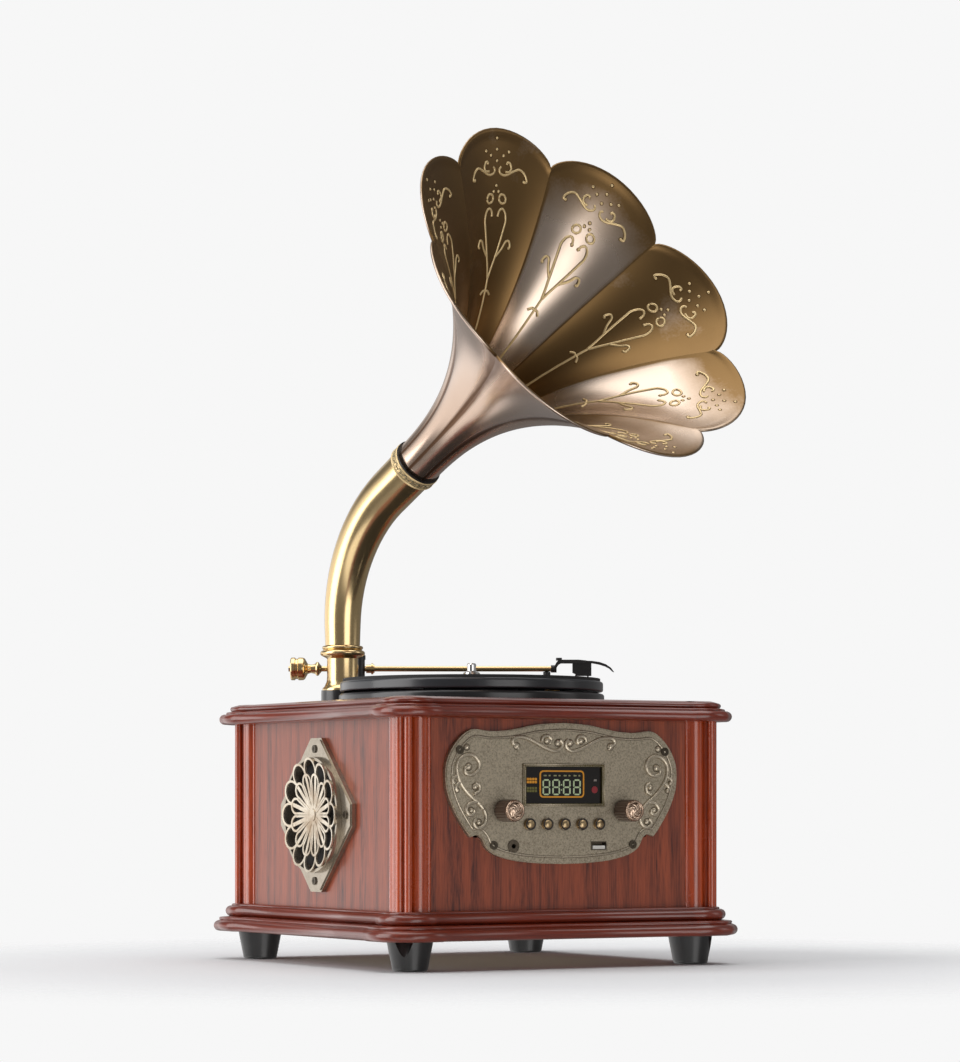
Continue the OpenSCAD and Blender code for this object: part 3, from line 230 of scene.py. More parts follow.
def use_group(tree, group, **sockets):
    """A group placed in a material."""
    return put(tree, "ShaderNodeGroup", {"node_tree": group}, **sockets).outputs


print("groups before the lesson:", len(bpy.data.node_groups))

# %% [markdown]
# ## Floor
# A pale floor catches the soft shadow under the cabinet. It fades out into the backdrop long before
# its own edge, so that no horizon crosses the picture. For reflections it is made fainter, because a
# white floor right under the horn would fill its dark petals with light.

# %% Floor
BACKDROP, FLOOR_SHADE = (0.93, 0.93, 0.93, 1), (0.70, 0.715, 0.735, 1)
FLOOR_R, FLOOR_IN_METAL = 3.0, 0.25
FADE_START, FADE_END = 0.28, 0.62
CORNERS = ((-1, -1), (1, -1), (1, 1), (-1, 1))
scene.view_settings.view_transform = "Standard"
floor_mesh = bpy.data.meshes.new("floor")
floor_mesh.from_pydata([(x * FLOOR_R, y * FLOOR_R, 0) for x, y in CORNERS], [], [(0, 1, 2, 3)])
floor = bpy.data.objects.new("floor", floor_mesh)
scene.collection.objects.link(floor)
floor_finish, floor_tree, floor_shader = new_finish("pale_floor")
floor_place = put(floor_tree, "ShaderNodeTexCoord").outputs["Object"]
floor_far = put(floor_tree, VECTOR_MATHS, {"operation": "LENGTH"}, Vector=floor_place).outputs["Value"]
floor_fade = soft_step(floor_tree, floor_far, FADE_END, FADE_START)
floor_seen = put(floor_tree, "ShaderNodeLightPath").outputs["Is Camera Ray"]
floor_thin = put(floor_tree, "ShaderNodeMapRange", Value=floor_seen, To_Min=FLOOR_IN_METAL).outputs["Result"]
connect(floor_tree, floor_shader, Base_Color=FLOOR_SHADE, Roughness=0.9, Specular_IOR_Level=0.0,
        Alpha=times(floor_tree, floor_thin, floor_fade))
floor_mesh.materials.append(floor_finish)
print("backdrop", BACKDROP[:3])

# %% [markdown]
# ## Light
# Polished brass shows its surroundings more than its own colour, so the light is built as a studio
# tent: a dim shell with bright panels overhead, at the left and low in front, and four fainter ones.
# The dark gaps between them draw the dark bands on the tubes and darken the petals that mirror them.
# The camera sees only the even backdrop.

# %% Studio tent
TENT_SHADE, TENT_TINT = 0.19, (1, 0.985, 0.975, 1)
OVERHEAD, OVERHEAD_FROM, OVERHEAD_FULL = 2.25, 50, 64
# Each panel: turn, half width, foot, top and soft edge in degrees, then its strength
PANELS = (
    (-76, 21, -16, 48, 3, 3.3),
    (-182, 15, -40, 6, 7, 2.3),
    (118, 8, 3, 34, 4, 1.1),
    (20, 20, 10, 40, 8, 0.5),
    (-138, 38, -66, -24, 8, 1.2),
    (-22, 30, -56, 11, 8, 1.1),
)
world = bpy.data.worlds.new("studio_tent")
scene.world = world
world.use_nodes = True
tent = world.node_tree
tent.nodes.clear()
tent_view = put(tent, "ShaderNodeTexCoord").outputs["Generated"]
tent_x, tent_y, tent_z = put(tent, "ShaderNodeSeparateXYZ", Vector=tent_view).outputs
tent_level = maths(tent, "MAXIMUM", minus(tent, 1.0, times(tent, tent_z, tent_z)), 0.0001)
tent_level = maths(tent, "SQRT", tent_level)


def between_angles(value, start, end, measure):
    """A soft step between two angles in degrees, compared by their sine or cosine."""
    return soft_step(tent, value, measure(math.radians(start)), measure(math.radians(end)))


def light_panel(turn, half_width, foot, top, soft, strength):
    """A bright panel on the tent. Its turn is measured from the back towards the right."""
    back, right = polar(1, turn)
    facing = plus(tent, times(tent, tent_x, right), times(tent, tent_y, back))
    facing = maths(tent, "DIVIDE", facing, tent_level)
    sideways = between_angles(facing, half_width + soft, half_width - soft, math.cos)
    above = between_angles(tent_z, foot - soft, foot + soft, math.sin)
    below = between_angles(tent_z, top + soft, top - soft, math.sin)
    return times(tent, times(tent, sideways, times(tent, above, below)), strength)


tent_sum = times(tent, between_angles(tent_z, OVERHEAD_FROM, OVERHEAD_FULL, math.sin), OVERHEAD)
for panel in PANELS:
    tent_sum = plus(tent, tent_sum, light_panel(*panel))
tent_sum = plus(tent, tent_sum, TENT_SHADE)
tent_seen = put(tent, "ShaderNodeLightPath").outputs["Is Camera Ray"]
tent_light = put(tent, "ShaderNodeBackground", Color=TENT_TINT, Strength=tent_sum).outputs[0]
tent_backdrop = put(tent, "ShaderNodeBackground", Color=BACKDROP).outputs[0]
tent_mix = put(tent, "ShaderNodeMixShader")
fill_row(tent, tent_mix.inputs, (tent_seen, tent_light, tent_backdrop))
put(tent, "ShaderNodeOutputWorld", Surface=tent_mix.outputs[0])
print("tent nodes:", len(tent.nodes))

# %% [markdown]
# ## Finishes
# Wood grain, tarnish, cast skin and handling marks come back on several finishes, so each is a node
# group that is built once. A group gives only colours, masks and heights; the shader itself stays in
# each material, where the gloss and the metal are set.

# %% Group: wood grain
wood_grain, grain_in, grain_out = new_group(
    "wood_grain",
    {"Vector": "Vector", "Light": "Color", "Dark": "Color", "Figure": "Float", "Contrast": "Float"},
    {"Color": "Color", "Height": "Float"})
along = put(wood_grain, "ShaderNodeMapping", Vector=grain_in["Vector"], Scale=(1, 1, 0.04)).outputs[0]
sway = noise(wood_grain, along, 24.0, 3.0, output="Color")
bent = maths(wood_grain, "MULTIPLY_ADD", sway, (0.05, 0.05, 0.02), along, kind=VECTOR_MATHS)
rings = put(wood_grain, "ShaderNodeTexWave", {"bands_direction": "DIAGONAL", "wave_profile": "SIN"},
            Vector=bent, Scale=grain_in["Figure"], Distortion=6.0, Detail=4.0,
            Detail_Scale=1.6).outputs["Fac"]
streaks = noise(wood_grain, bent, 820.0, 5.0, 0.7)
fibres = noise(wood_grain, along, 1100.0, 2.0)
figure = plus(wood_grain, times(wood_grain, rings, 0.16), times(wood_grain, streaks, 0.92))
tone = ramp(wood_grain, figure, (0.34, 0.0), (0.56, 0.4), (0.76, 1.0))
pores = ramp(wood_grain, fibres, (0.3, 1.0), (0.42, 0.0))
tone = minus(wood_grain, 1.0, times(wood_grain, tone, grain_in["Contrast"]))
colour = blend_colour(wood_grain, tone, grain_in["Dark"], grain_in["Light"])
colour = blend_colour(wood_grain, times(wood_grain, pores, 0.45), colour, grain_in["Dark"])
height = minus(wood_grain, streaks, times(wood_grain, pores, 0.4))
fill_row(wood_grain, grain_out, (colour, height))
print("wood grain nodes:", len(wood_grain.nodes))

# %% Group: tarnish on brass and copper
tarnish, tarnish_in, tarnish_out = new_group(
    "tarnish",
    {"Vector": "Vector", "Clean": "Color", "Stained": "Color", "Scale": "Float", "Amount": "Float"},
    {"Color": "Color", "Stain": "Float"})
clouds = noise(tarnish, tarnish_in["Vector"], tarnish_in["Scale"], 3.0)
specks = noise(tarnish, tarnish_in["Vector"], 520.0, 2.0)
mottle = plus(tarnish, times(tarnish, clouds, 0.93), times(tarnish, specks, 0.07))
stain = times(tarnish, ramp(tarnish, mottle, (0.3, 0.0), (0.7, 1.0)), tarnish_in["Amount"])
stain = plus(tarnish, stain, times(tarnish, minus(tarnish, tarnish_in["Amount"], 0.8), 0.6))
stain = maths(tarnish, "MINIMUM", maths(tarnish, "MAXIMUM", stain, 0.0), 1.0)
colour = blend_colour(tarnish, stain, tarnish_in["Clean"], tarnish_in["Stained"])
fill_row(tarnish, tarnish_out, (colour, stain))
print("tarnish nodes:", len(tarnish.nodes))

# %% Group: skin of a casting, with pits and worn high spots
cast_skin, skin_in, skin_out = new_group(
    "cast_skin",
    {"Vector": "Vector", "Metal": "Color", "Recess": "Color", "Scale": "Float", "Amount": "Float"},
    {"Color": "Color", "Height": "Float", "Recess": "Float"})
grit = noise(cast_skin, skin_in["Vector"], skin_in["Scale"], 4.0, 0.7)
drift = noise(cast_skin, skin_in["Vector"], 30.0, 2.0)
depth = plus(cast_skin, times(cast_skin, grit, 0.88), times(cast_skin, drift, 0.12))
pits = times(cast_skin, ramp(cast_skin, depth, (0.36, 1.0), (0.58, 0.0)), skin_in["Amount"])
colour = blend_colour(cast_skin, pits, skin_in["Metal"], skin_in["Recess"])
fill_row(cast_skin, skin_out, (colour, grit, pits))
print("cast skin nodes:", len(cast_skin.nodes))

# %% Group: handling marks that change the gloss
handling, hand_in, hand_out = new_group(
    "handling_marks", {"Vector": "Vector", "Polish": "Float", "Spread": "Float", "Scale": "Float"},
    {"Roughness": "Float", "Height": "Float"})
smears = noise(handling, hand_in["Vector"], hand_in["Scale"], 6.0, 0.7)
fine = noise(handling, hand_in["Vector"], 900.0, 2.0)
spread = times(handling, minus(handling, smears, 0.45), hand_in["Spread"])
fill_row(handling, hand_out, (plus(handling, hand_in["Polish"], spread), fine))
print("groups:", [g.name for g in bpy.data.node_groups])

# %% [markdown]
# ### Stained and lacquered wood
# The panels stand with their grain upright, while the grain of a moulding runs along its length and
# turns at each mitred corner. A solid moulding has no such direction, so its finish looks at which
# side of the cabinet a point is on and swaps the coordinates there.

# %% Wood finishes
GRAIN_RELIEF = 0.00012


def surface_place(tree):
    """Place on the piece, measured from the spindle axis."""
    here = put(tree, "ShaderNodeTexCoord").outputs["Object"]
    return maths(tree, "SUBTRACT", here, tuple(SPINDLE), kind=VECTOR_MATHS)


def along_the_rail(tree):
    """Coordinates whose third axis follows each side of a square frame of moulding."""
    x, y, z = put(tree, "ShaderNodeSeparateXYZ", Vector=surface_place(tree)).outputs
    front = maths(tree, "GREATER_THAN", maths(tree, "ABSOLUTE", y), maths(tree, "ABSOLUTE", x))
    along_x = put(tree, "ShaderNodeCombineXYZ", X=y, Y=z, Z=x).outputs[0]
    along_y = put(tree, "ShaderNodeCombineXYZ", X=x, Y=z, Z=y).outputs[0]
    mix = put(tree, "ShaderNodeMix", {"data_type": "VECTOR"})
    fill_row(tree, (mix.inputs[0], mix.inputs[4], mix.inputs[5]), (front, along_y, along_x))
    return mix.outputs[1]


def wood_finish(name, light, dark, figure, contrast, polish, coat, place=surface_place):
    """Stained wood under lacquer."""
    finish, tree, shader = new_finish(name)
    where = place(tree)
    grain = use_group(tree, wood_grain, Vector=where, Light=light, Dark=dark, Figure=figure,
                      Contrast=contrast)
    marks = use_group(tree, handling, Vector=where, Polish=polish, Spread=0.14, Scale=22.0)
    bump = put(tree, "ShaderNodeBump", Height=grain["Height"], Strength=0.35, Distance=GRAIN_RELIEF)
    connect(tree, shader, Base_Color=grain["Color"], Roughness=marks["Roughness"], Normal=bump.outputs[0],
            Coat_Weight=coat, Coat_Roughness=0.12)
    return finish


panel_wood = wood_finish("panel_wood", rgb(156, 74, 45), rgb(70, 28, 21), 34.0, 1.0, 0.36, 0.35)
moulding_wood = wood_finish("moulding_wood", rgb(122, 40, 16), rgb(66, 18, 8), 50.0, 0.7, 0.3, 0.6,
                            along_the_rail)
post_wood = wood_finish("post_wood", rgb(184, 72, 26), rgb(102, 32, 12), 50.0, 0.7, 0.26, 0.85)
plain_wood = wood_finish("plain_wood", rgb(150, 130, 108), rgb(100, 82, 64), 30.0, 0.6, 0.75, 0.0)
print("wood finishes:", panel_wood.name, moulding_wood.name, post_wood.name, plain_wood.name)

# %% [markdown]
# ### Metals
# Brass here comes in three ages: bright gold-coloured tube, antique brown brass inside the horn, and
# a pinkish bronze on its outside. Each is the same recipe with its own colours: tarnish clouds for
# the colour, handling marks for the gloss. The cast plates are pewter grey with dark pits.

# %% Metal finishes
HANDLING_RELIEF = 0.00002
# gain of the horn's attribute, which holds old polish and painted shade
STAIN_SHADE_GAIN = 1.4


def metal_finish(name, clean, stained, polish, amount, clouds=16.0, spread=0.14, metal=1.0, stained_and_shaded=False):
    """Polished metal with tarnish and handling marks. On the horn, a point attribute adds old polish along
    the creases and at the rim, and painted shade in the throat and on the darker petals.
    """
    finish, tree, shader = new_finish(name)
    where = surface_place(tree)
    # the horn's attribute holds old polish in the creases and at the rim, and painted shade in the throat and
    # on darker petals
    if stained_and_shaded:
        held = put(tree, "ShaderNodeAttribute", {"attribute_name": "stain_shade"}).outputs["Fac"]
        amount = plus(tree, amount, times(tree, held, STAIN_SHADE_GAIN))
    age = use_group(tree, tarnish, Vector=where, Clean=clean, Stained=stained, Scale=clouds, Amount=amount)
    marks = use_group(tree, handling, Vector=where, Polish=polish, Spread=spread, Scale=26.0)
    bump = put(tree, "ShaderNodeBump", Height=marks["Height"], Strength=0.25, Distance=HANDLING_RELIEF)
    rough = plus(tree, marks["Roughness"], times(tree, age["Stain"], 0.12))
    connect(tree, shader, Base_Color=age["Color"], Roughness=rough, Normal=bump.outputs[0], Metallic=metal)
    return finish


def cast_finish(name, metal, recess, polish, amount, relief, pit_scale):
    """Cast metal with dark pits and worn high spots."""
    finish, tree, shader = new_finish(name)
    skin = use_group(tree, cast_skin, Vector=surface_place(tree), Metal=metal, Recess=recess, Scale=pit_scale,
                     Amount=amount)
    bump = put(tree, "ShaderNodeBump", Height=skin["Height"], Strength=0.5, Distance=relief)
    rough = plus(tree, polish, times(tree, skin["Recess"], 0.3))
    connect(tree, shader, Base_Color=skin["Color"], Roughness=rough, Normal=bump.outputs[0], Metallic=0.8)
    return finish


gold_brass = metal_finish("gold_brass", rgb(226, 198, 148), rgb(168, 132, 84), 0.2, 0.3)
horn_inside = metal_finish("horn_inside", rgb(202, 184, 168), rgb(120, 94, 60), 0.24, 0.3, 12.0, 0.12,
                           stained_and_shaded=True)
horn_outside = metal_finish("horn_outside", rgb(206, 182, 164), rgb(112, 84, 64), 0.24, 0.35, 12.0, 0.1,
                            stained_and_shaded=True)
# lighter and less metallic than the horn's brass: on the petal embossing, which is the petals' own metal,
# this is a painted highlight
raised_gold = metal_finish("raised_gold", rgb(222, 196, 146), rgb(150, 112, 68), 0.36, 0.4, 60.0, metal=0.55)
aged_copper = metal_finish("aged_copper", rgb(214, 188, 166), rgb(130, 104, 86), 0.22, 0.35, 90.0)
bearing_bronze = metal_finish("bearing_bronze", rgb(198, 158, 100), rgb(120, 84, 44), 0.3, 0.3)
bright_chrome = metal_finish("bright_chrome", rgb(226, 226, 226), rgb(170, 170, 172), 0.08, 0.2, 20.0, 0.06)
plain_steel = metal_finish("plain_steel", rgb(176, 176, 178), rgb(110, 108, 106), 0.34, 0.35, 40.0)
nickel_plate = metal_finish("nickel_plate", rgb(214, 210, 200), rgb(140, 134, 124), 0.16, 0.3, 60.0)
core_steel = metal_finish("core_steel", rgb(130, 130, 134), rgb(70, 68, 66), 0.45, 0.5, 60.0)
dark_steel = metal_finish("dark_steel", rgb(96, 88, 76), rgb(48, 42, 36), 0.34, 0.6, 60.0)
pewter = cast_finish("pewter", rgb(190, 178, 156), rgb(98, 88, 74), 0.32, 0.75, 0.00009, 820.0)
grille_pewter = cast_finish("grille_pewter", rgb(178, 168, 152), rgb(116, 104, 90), 0.17, 0.25, 0.00002,
                            140.0)
bright_pewter = cast_finish("bright_pewter", rgb(222, 212, 194), rgb(150, 122, 90), 0.2, 0.7, 0.00001, 40.0)
bezel_olive = cast_finish("bezel_olive", rgb(112, 102, 66), rgb(54, 48, 34), 0.3, 0.5, 0.00004, 700.0)
print("materials up to here:", [m.name for m in bpy.data.materials])

# %% [markdown]
# ### Plastics, rubber, paper and glass
# The deck, the platter and the feet are nearly black, but none is the same black: a painted rim
# takes a sharp highlight, rubber takes none. So each has its own gloss and its own fine texture.

# %% Moulded and painted finishes
def moulded_finish(name, shade, deep, polish, spread=0.12, coat=0.0, relief=0.00003, clouds=40.0):
    """Moulded plastic, paint, rubber or paper."""
    finish, tree, shader = new_finish(name)
    where = surface_place(tree)
    marks = use_group(tree, handling, Vector=where, Polish=polish, Spread=spread, Scale=clouds)
    bump = put(tree, "ShaderNodeBump", Height=marks["Height"], Strength=0.3, Distance=relief)
    tone = blend_colour(tree, noise(tree, where, clouds, 4.0), deep, shade)
    connect(tree, shader, Base_Color=tone, Roughness=marks["Roughness"], Normal=bump.outputs[0],
            Coat_Weight=coat, Coat_Roughness=0.08)
    return finish


deck_black = moulded_finish("deck_black", rgb(36, 37, 40), rgb(20, 20, 22), 0.3, 0.1, 0.35)
foot_black = moulded_finish("foot_black", rgb(30, 29, 29), rgb(14, 14, 15), 0.36, 0.1, 0.2)
platter_paint = moulded_finish("platter_paint", rgb(52, 55, 60), rgb(34, 36, 40), 0.3, 0.1, 0.3)
matt_black = moulded_finish("matt_black", rgb(44, 43, 43), rgb(26, 25, 25), 0.46)
mat_rubber = moulded_finish("mat_rubber", rgb(40, 40, 41), rgb(26, 26, 27), 0.72, 0.08, 0.0, 0.00008, 300.0)
belt_rubber = moulded_finish("belt_rubber", rgb(40, 40, 41), rgb(28, 28, 29), 0.62, 0.1)
gasket_black = moulded_finish("gasket_black", rgb(30, 28, 26), rgb(16, 15, 14), 0.5, 0.1)
knob_brown = moulded_finish("knob_brown", rgb(92, 70, 56), rgb(48, 32, 25), 0.3, 0.1, 0.3)
socket_black = moulded_finish("socket_black", rgb(30, 30, 31), rgb(18, 18, 19), 0.42)
plate_black = moulded_finish("plate_black", rgb(38, 38, 39), rgb(24, 24, 25), 0.5, 0.1, 0.0, 0.00006, 200.0)
cone_paper = moulded_finish("cone_paper", rgb(34, 33, 33), rgb(20, 19, 19), 0.66, 0.1, 0.0, 0.0002, 240.0)
dark_glass = moulded_finish("dark_glass", rgb(30, 25, 22), rgb(16, 13, 12), 0.08, 0.03, 0.6, 0.000005)
eye_grey = moulded_finish("eye_grey", rgb(150, 142, 136), rgb(100, 94, 90), 0.3)
contact_white = moulded_finish("contact_white", rgb(226, 224, 218), rgb(196, 193, 186), 0.35)
# painted shade round the button domes
ring_shade = moulded_finish("ring_shade", rgb(44, 34, 28), rgb(22, 17, 15), 0.4)
print("materials so far:", len(bpy.data.materials))

# %% Finishes of raised work, buttons and boards
button_gold = metal_finish("button_gold", rgb(190, 166, 128), rgb(110, 86, 54), 0.3, 0.5, 120.0)
# painted shade: the dark bed at the foot of the raised work on the horn and the collar
bead_shadow = metal_finish("bead_shadow", rgb(86, 62, 38), rgb(40, 27, 16), 0.42, 0.7, 60.0)
# painted shade: darker copper at the foot of the swirls on the knob caps
swirl_shade = metal_finish("swirl_shade", rgb(150, 124, 104), rgb(96, 74, 58), 0.34, 0.4, 90.0)
collar_pewter = cast_finish("collar_pewter", rgb(196, 184, 150), rgb(84, 72, 48), 0.3, 0.6, 0.00006, 500.0)
scroll_pewter = cast_finish("scroll_pewter", rgb(206, 194, 172), rgb(112, 100, 86), 0.26, 0.55, 0.00005,
                            700.0)
# painted shade: dark pewter for the beds under cast scrolls and for the socket openings
shade_pewter = cast_finish("shade_pewter", rgb(104, 94, 80), rgb(50, 44, 36), 0.4, 0.6, 0.00006, 700.0)


def board_finish():
    """Green circuit board with copper tracks under the lacquer and pale solder dots."""
    finish, tree, shader = new_finish("board_green")
    where = surface_place(tree)
    bricks = put(tree, "ShaderNodeTexBrick", {"offset": 0.35}, Vector=where, Scale=210.0, Mortar_Size=0.06)
    dots = put(tree, "ShaderNodeTexVoronoi", {"feature": "F1"}, Vector=where, Scale=260.0).outputs["Distance"]
    tracks = times(tree, bricks.outputs["Fac"], 0.6)
    solder = ramp(tree, dots, (0.1, 1.0), (0.16, 0.0))
    lacquer = blend_colour(tree, tracks, rgb(22, 74, 40), rgb(52, 122, 66))
    connect(tree, shader, Base_Color=blend_colour(tree, solder, lacquer, rgb(186, 184, 176)),
            Roughness=minus(tree, 0.42, times(tree, solder, 0.12)))
    return finish


board_green = board_finish()
print("materials so far:", len(bpy.data.materials))

# %% [markdown]
# ### Glowing and woven finishes
# A lit bar is a coloured plate that also gives light. The glow is kept low, so that the bar keeps
# its colour; a strong glow would turn it white. The cloth is a checker of threads seen from afar.

# %% Lit bars and cloth
def lit_finish(name, bright, edge, strength):
    """A lit part of the display."""
    finish, tree, shader = new_finish(name)
    glow = blend_colour(tree, noise(tree, surface_place(tree), 400.0, 2.0), edge, bright)
    connect(tree, shader, Base_Color=edge, Emission_Color=glow, Emission_Strength=strength, Roughness=0.4)
    return finish


def cloth_finish(name, thread, gap):
    """Woven cloth: threads that pass over and under."""
    finish, tree, shader = new_finish(name)
    where = surface_place(tree)
    weave = put(tree, "ShaderNodeTexChecker", Vector=where, Scale=900.0).outputs["Fac"]
    fuzz = noise(tree, where, 1500.0, 2.0)
    over = times(tree, plus(tree, weave, fuzz), 0.5)
    bump = put(tree, "ShaderNodeBump", Height=over, Strength=0.5, Distance=0.0002)
    connect(tree, shader, Base_Color=blend_colour(tree, over, gap, thread), Normal=bump.outputs[0],
            Roughness=plus(tree, 0.78, times(tree, fuzz, 0.15)))
    return finish


lit_green = lit_finish("lit_green", rgb(186, 198, 160), rgb(130, 144, 112), 0.4)
lit_olive = lit_finish("lit_olive", rgb(120, 116, 52), rgb(84, 80, 34), 0.15)
lit_pale = lit_finish("lit_pale", rgb(150, 150, 110), rgb(100, 98, 70), 0.3)
lit_orange = lit_finish("lit_orange", rgb(214, 150, 30), rgb(150, 96, 16), 0.4)
lit_red = lit_finish("lit_red", rgb(150, 40, 46), rgb(100, 22, 28), 0.3)
# painted shade: dark cloth that stands in for the shade in the hollow behind each grille
shade_cloth = cloth_finish("shade_cloth", rgb(40, 37, 36), rgb(12, 11, 11))
print("finishes in all:", len(bpy.data.materials))

# %% [markdown]
# ### Dress the measured solids
# A solid keeps its mesh and only gets a finish, by filling its material slots. The list goes through
# the machine group by group, from the cabinet to what is inside it, and the last line prints which
# solids it misses.

# %% Finish for each solid
BUTTONS = ["button_%d" % number for number in range(1, 6)]
DRESS = {
    "base_moulding": moulding_wood, "top_moulding": moulding_wood, "top_board": moulding_wood,
    "front_panel": panel_wood, "rear_panel": panel_wood, "left_panel": panel_wood, "right_panel": panel_wood,
    "corner_posts": post_wood, "bottom_board": plain_wood, "feet": foot_black, "screws": dark_steel,
    "rear_plate": plate_black, "power_inlet": socket_black, "line_out_jacks": nickel_plate,
    "switch_housing": socket_black, "power_switch": matt_black,
    "deck_plate": deck_black, "platter": platter_paint, "platter_mat": mat_rubber, "spindle": bright_chrome,
    "spindle_bearing": bearing_bronze, "motor": plain_steel, "motor_pulley": bearing_bronze,
    "drive_belt": belt_rubber, "tonearm_base": deck_black, "tonearm_turret": deck_black,
    "tonearm_tube": gold_brass, "counterweight": gold_brass, "headshell": matt_black,
    "cartridge": socket_black, "arm_rest": matt_black,
    "horn_pillar": gold_brass, "elbow_tube": gold_brass, "elbow_collar": raised_gold,
    "horn_gasket": gasket_black, "horn": horn_inside, "horn_driver": matt_black,
    "control_plate": pewter, "display_frame": bezel_olive, "display_window": dark_glass,
    "knob_left": knob_brown, "knob_right": knob_brown,
    "knob_cap_left": aged_copper, "knob_cap_right": aged_copper,
    # the front sockets take the dark pewter of painted shade, for the shade inside their openings
    "potentiometers": plain_steel, "front_sockets": shade_pewter, "control_board": board_green,
    "grille_left": grille_pewter, "grille_right": grille_pewter, "flower_left": bright_pewter,
    "flower_right": bright_pewter, "speaker_baskets": plate_black, "speaker_cones": cone_paper,
    "amplifier_board": board_green, "transformer": core_steel, **dict.fromkeys(BUTTONS, button_gold),
}
for node_name, finish in DRESS.items():
    for held in nodes[node_name].material_slots:
        held.material = finish
print("dressed", len(DRESS), "of", len(nodes), "solids; left:", sorted(set(nodes) - set(DRESS)))

# %% [markdown]
# ## The horn
# Eight petals of sheet brass are soldered edge to edge, so the horn has eight creases that run from
# the rim into the throat. The measured solid has the same shape with few facets. Polished metal
# shows every facet, so a finer skin is drawn here from the same rule: the radius grows as a power of
# the length, each petal swells between its creases, and the rim is rolled outwards.

# %% The horn's own frame
HORN_TURN, HORN_TILT = math.radians(12.3), math.radians(31.1)
DECK_MARGIN, PILLAR_GAP, PILLAR_DIR = 29.2, 17.1, 118.5
PILLAR = Vector((*polar(PANEL - DECK_MARGIN + PILLAR_GAP, PILLAR_DIR), 0))
ELBOW_BEND, ELBOW_RISE, ELBOW_REACH = 118.0, 16.6, 38.6
BEND = math.radians(90) - HORN_TILT
Z_ELBOW = box_mm("horn_pillar")[1].z
elbow_out = ELBOW_BEND * (1 - math.cos(BEND)) + ELBOW_REACH * math.cos(HORN_TILT)
elbow_up = Z_ELBOW + ELBOW_RISE + ELBOW_BEND * math.sin(BEND) + ELBOW_REACH * math.sin(HORN_TILT)
NECK = (Matrix.Translation(PILLAR) @ Matrix.Rotation(HORN_TURN - math.radians(90), 4, "Z")
        @ Matrix.Translation((elbow_out, 0, elbow_up)) @ Matrix.Rotation(BEND, 4, "Y"))


def from_neck(point):
    """A point in the horn's own frame, axis along Z in millimetres, in metres in the room."""
    return SPINDLE + (NECK @ Vector(point)) * MM


print("neck of the horn, mm:", [round(c, 2) for c in NECK.translation])

# %% The rule of the petals
PETALS, PETAL_TURN = 8, 30.0
NECK_R, MOUTH_R, HORN_L, PETAL_L = 18.3, 131.8, 207.5, 10.0
FLARE, SWELL, FOLD, SHEET, ROLL = 2.38, 0.03, 0.035, 1.2, 0.7
TIP_ROUND, SWELL_ROUND = 0.7, 1.7
HORN_START, PETAL_ANGLE = 1.2, 360 / PETALS


def flare_r(s):
    """Radius of the horn at s millimetres from its neck, before the petals swell."""
    return NECK_R + (MOUTH_R - NECK_R) * (s / HORN_L) ** FLARE


def petal_point(petal, u, v, inset):
    """A point of a petal. u runs from crease to crease (-1 to 1), v from neck to rim (0 to 1)."""
    end = HORN_L + PETAL_L * max(1 - u * u, 0) ** TIP_ROUND
    s = HORN_START + (end - HORN_START) * v
    swell = 1 + (SWELL * v + 4 * FOLD * v * (1 - v)) * (1 - abs(u) ** SWELL_ROUND)
    slope = FLARE * (MOUTH_R - NECK_R) / HORN_L * (s / HORN_L) ** (FLARE - 1)
    lean = math.sqrt(1 + slope * slope)
    x, y = polar(flare_r(s) * swell - inset / lean, PETAL_TURN + PETAL_ANGLE * (petal + u / 2 + 0.5))
    return Vector((x, y, s + inset * slope / lean))


def petal_width(v):
    """Half the width of a petal at v, along its curve, in millimetres."""
    return flare_r(HORN_START + (HORN_L - HORN_START) * v) * math.radians(PETAL_ANGLE) / 2


print("half a petal is", round(petal_width(1), 1), "mm wide at the rim")

# %% [markdown]
# ### From points to pieces
# Each piece of this scene is a list of points and a list of faces that name their points by number.
# It rides on a body of the machine, so that it moves when the joint moves. Most faces lie between two rings
# of points.

# %% Make a piece from points and faces
def stand(name, mesh, body):
    """Puts a mesh into the room as a piece that rides on a body."""
    piece = bpy.data.objects.new(name, mesh)
    scene.collection.objects.link(piece)
    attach(piece, body)
    return piece


def make_piece(name, points, faces, finishes, body, marks=None, smooth=True):
    """A piece from points in the room. marks gives each face the number of its finish."""
    mesh = bpy.data.meshes.new(name)
    mesh.from_pydata([tuple(p) for p in points], [], faces)
    for finish in finishes:
        mesh.materials.append(finish)
    if marks:
        mesh.polygons.foreach_set("material_index", marks)
    mesh.polygons.foreach_set("use_smooth", [smooth] * len(faces))
    mesh.update()
    return stand(name, mesh, body)


def ring_faces(rings, size, first=0, closed=False):
    """Faces between rings of points. When closed, the last ring meets the first one again."""
    faces = []
    for i in range(rings if closed else rings - 1):
        here, there = first + i * size, first + (i + 1) % rings * size
        faces += [(here + j, here + (j + 1) % size, there + (j + 1) % size, there + j) for j in range(size)]
    return faces


print("two rings of four points have", len(ring_faces(2, 4)), "faces between them")

# %% [markdown]
# The skin is built in rows. Along a crease the surface turns sharply, so the points crowd together
# near each crease and the crease edges are marked sharp: the reflection then breaks there, as it
# does on the soldered seams. The outside goes first, then over the rolled rim and down the inside.

# %% Skin of the horn
ROWS, ACROSS, ROLL_STEPS = 72, 22, 8
RIM_V, ROLL_V, CROWD = 0.984, 0.008, 0.35


def across(step):
    """Place between two creases, crowded towards both."""
    t = 2 * step / ACROSS - 1
    return t * (1 + CROWD - CROWD * t * t) if abs(t) < 1 else t


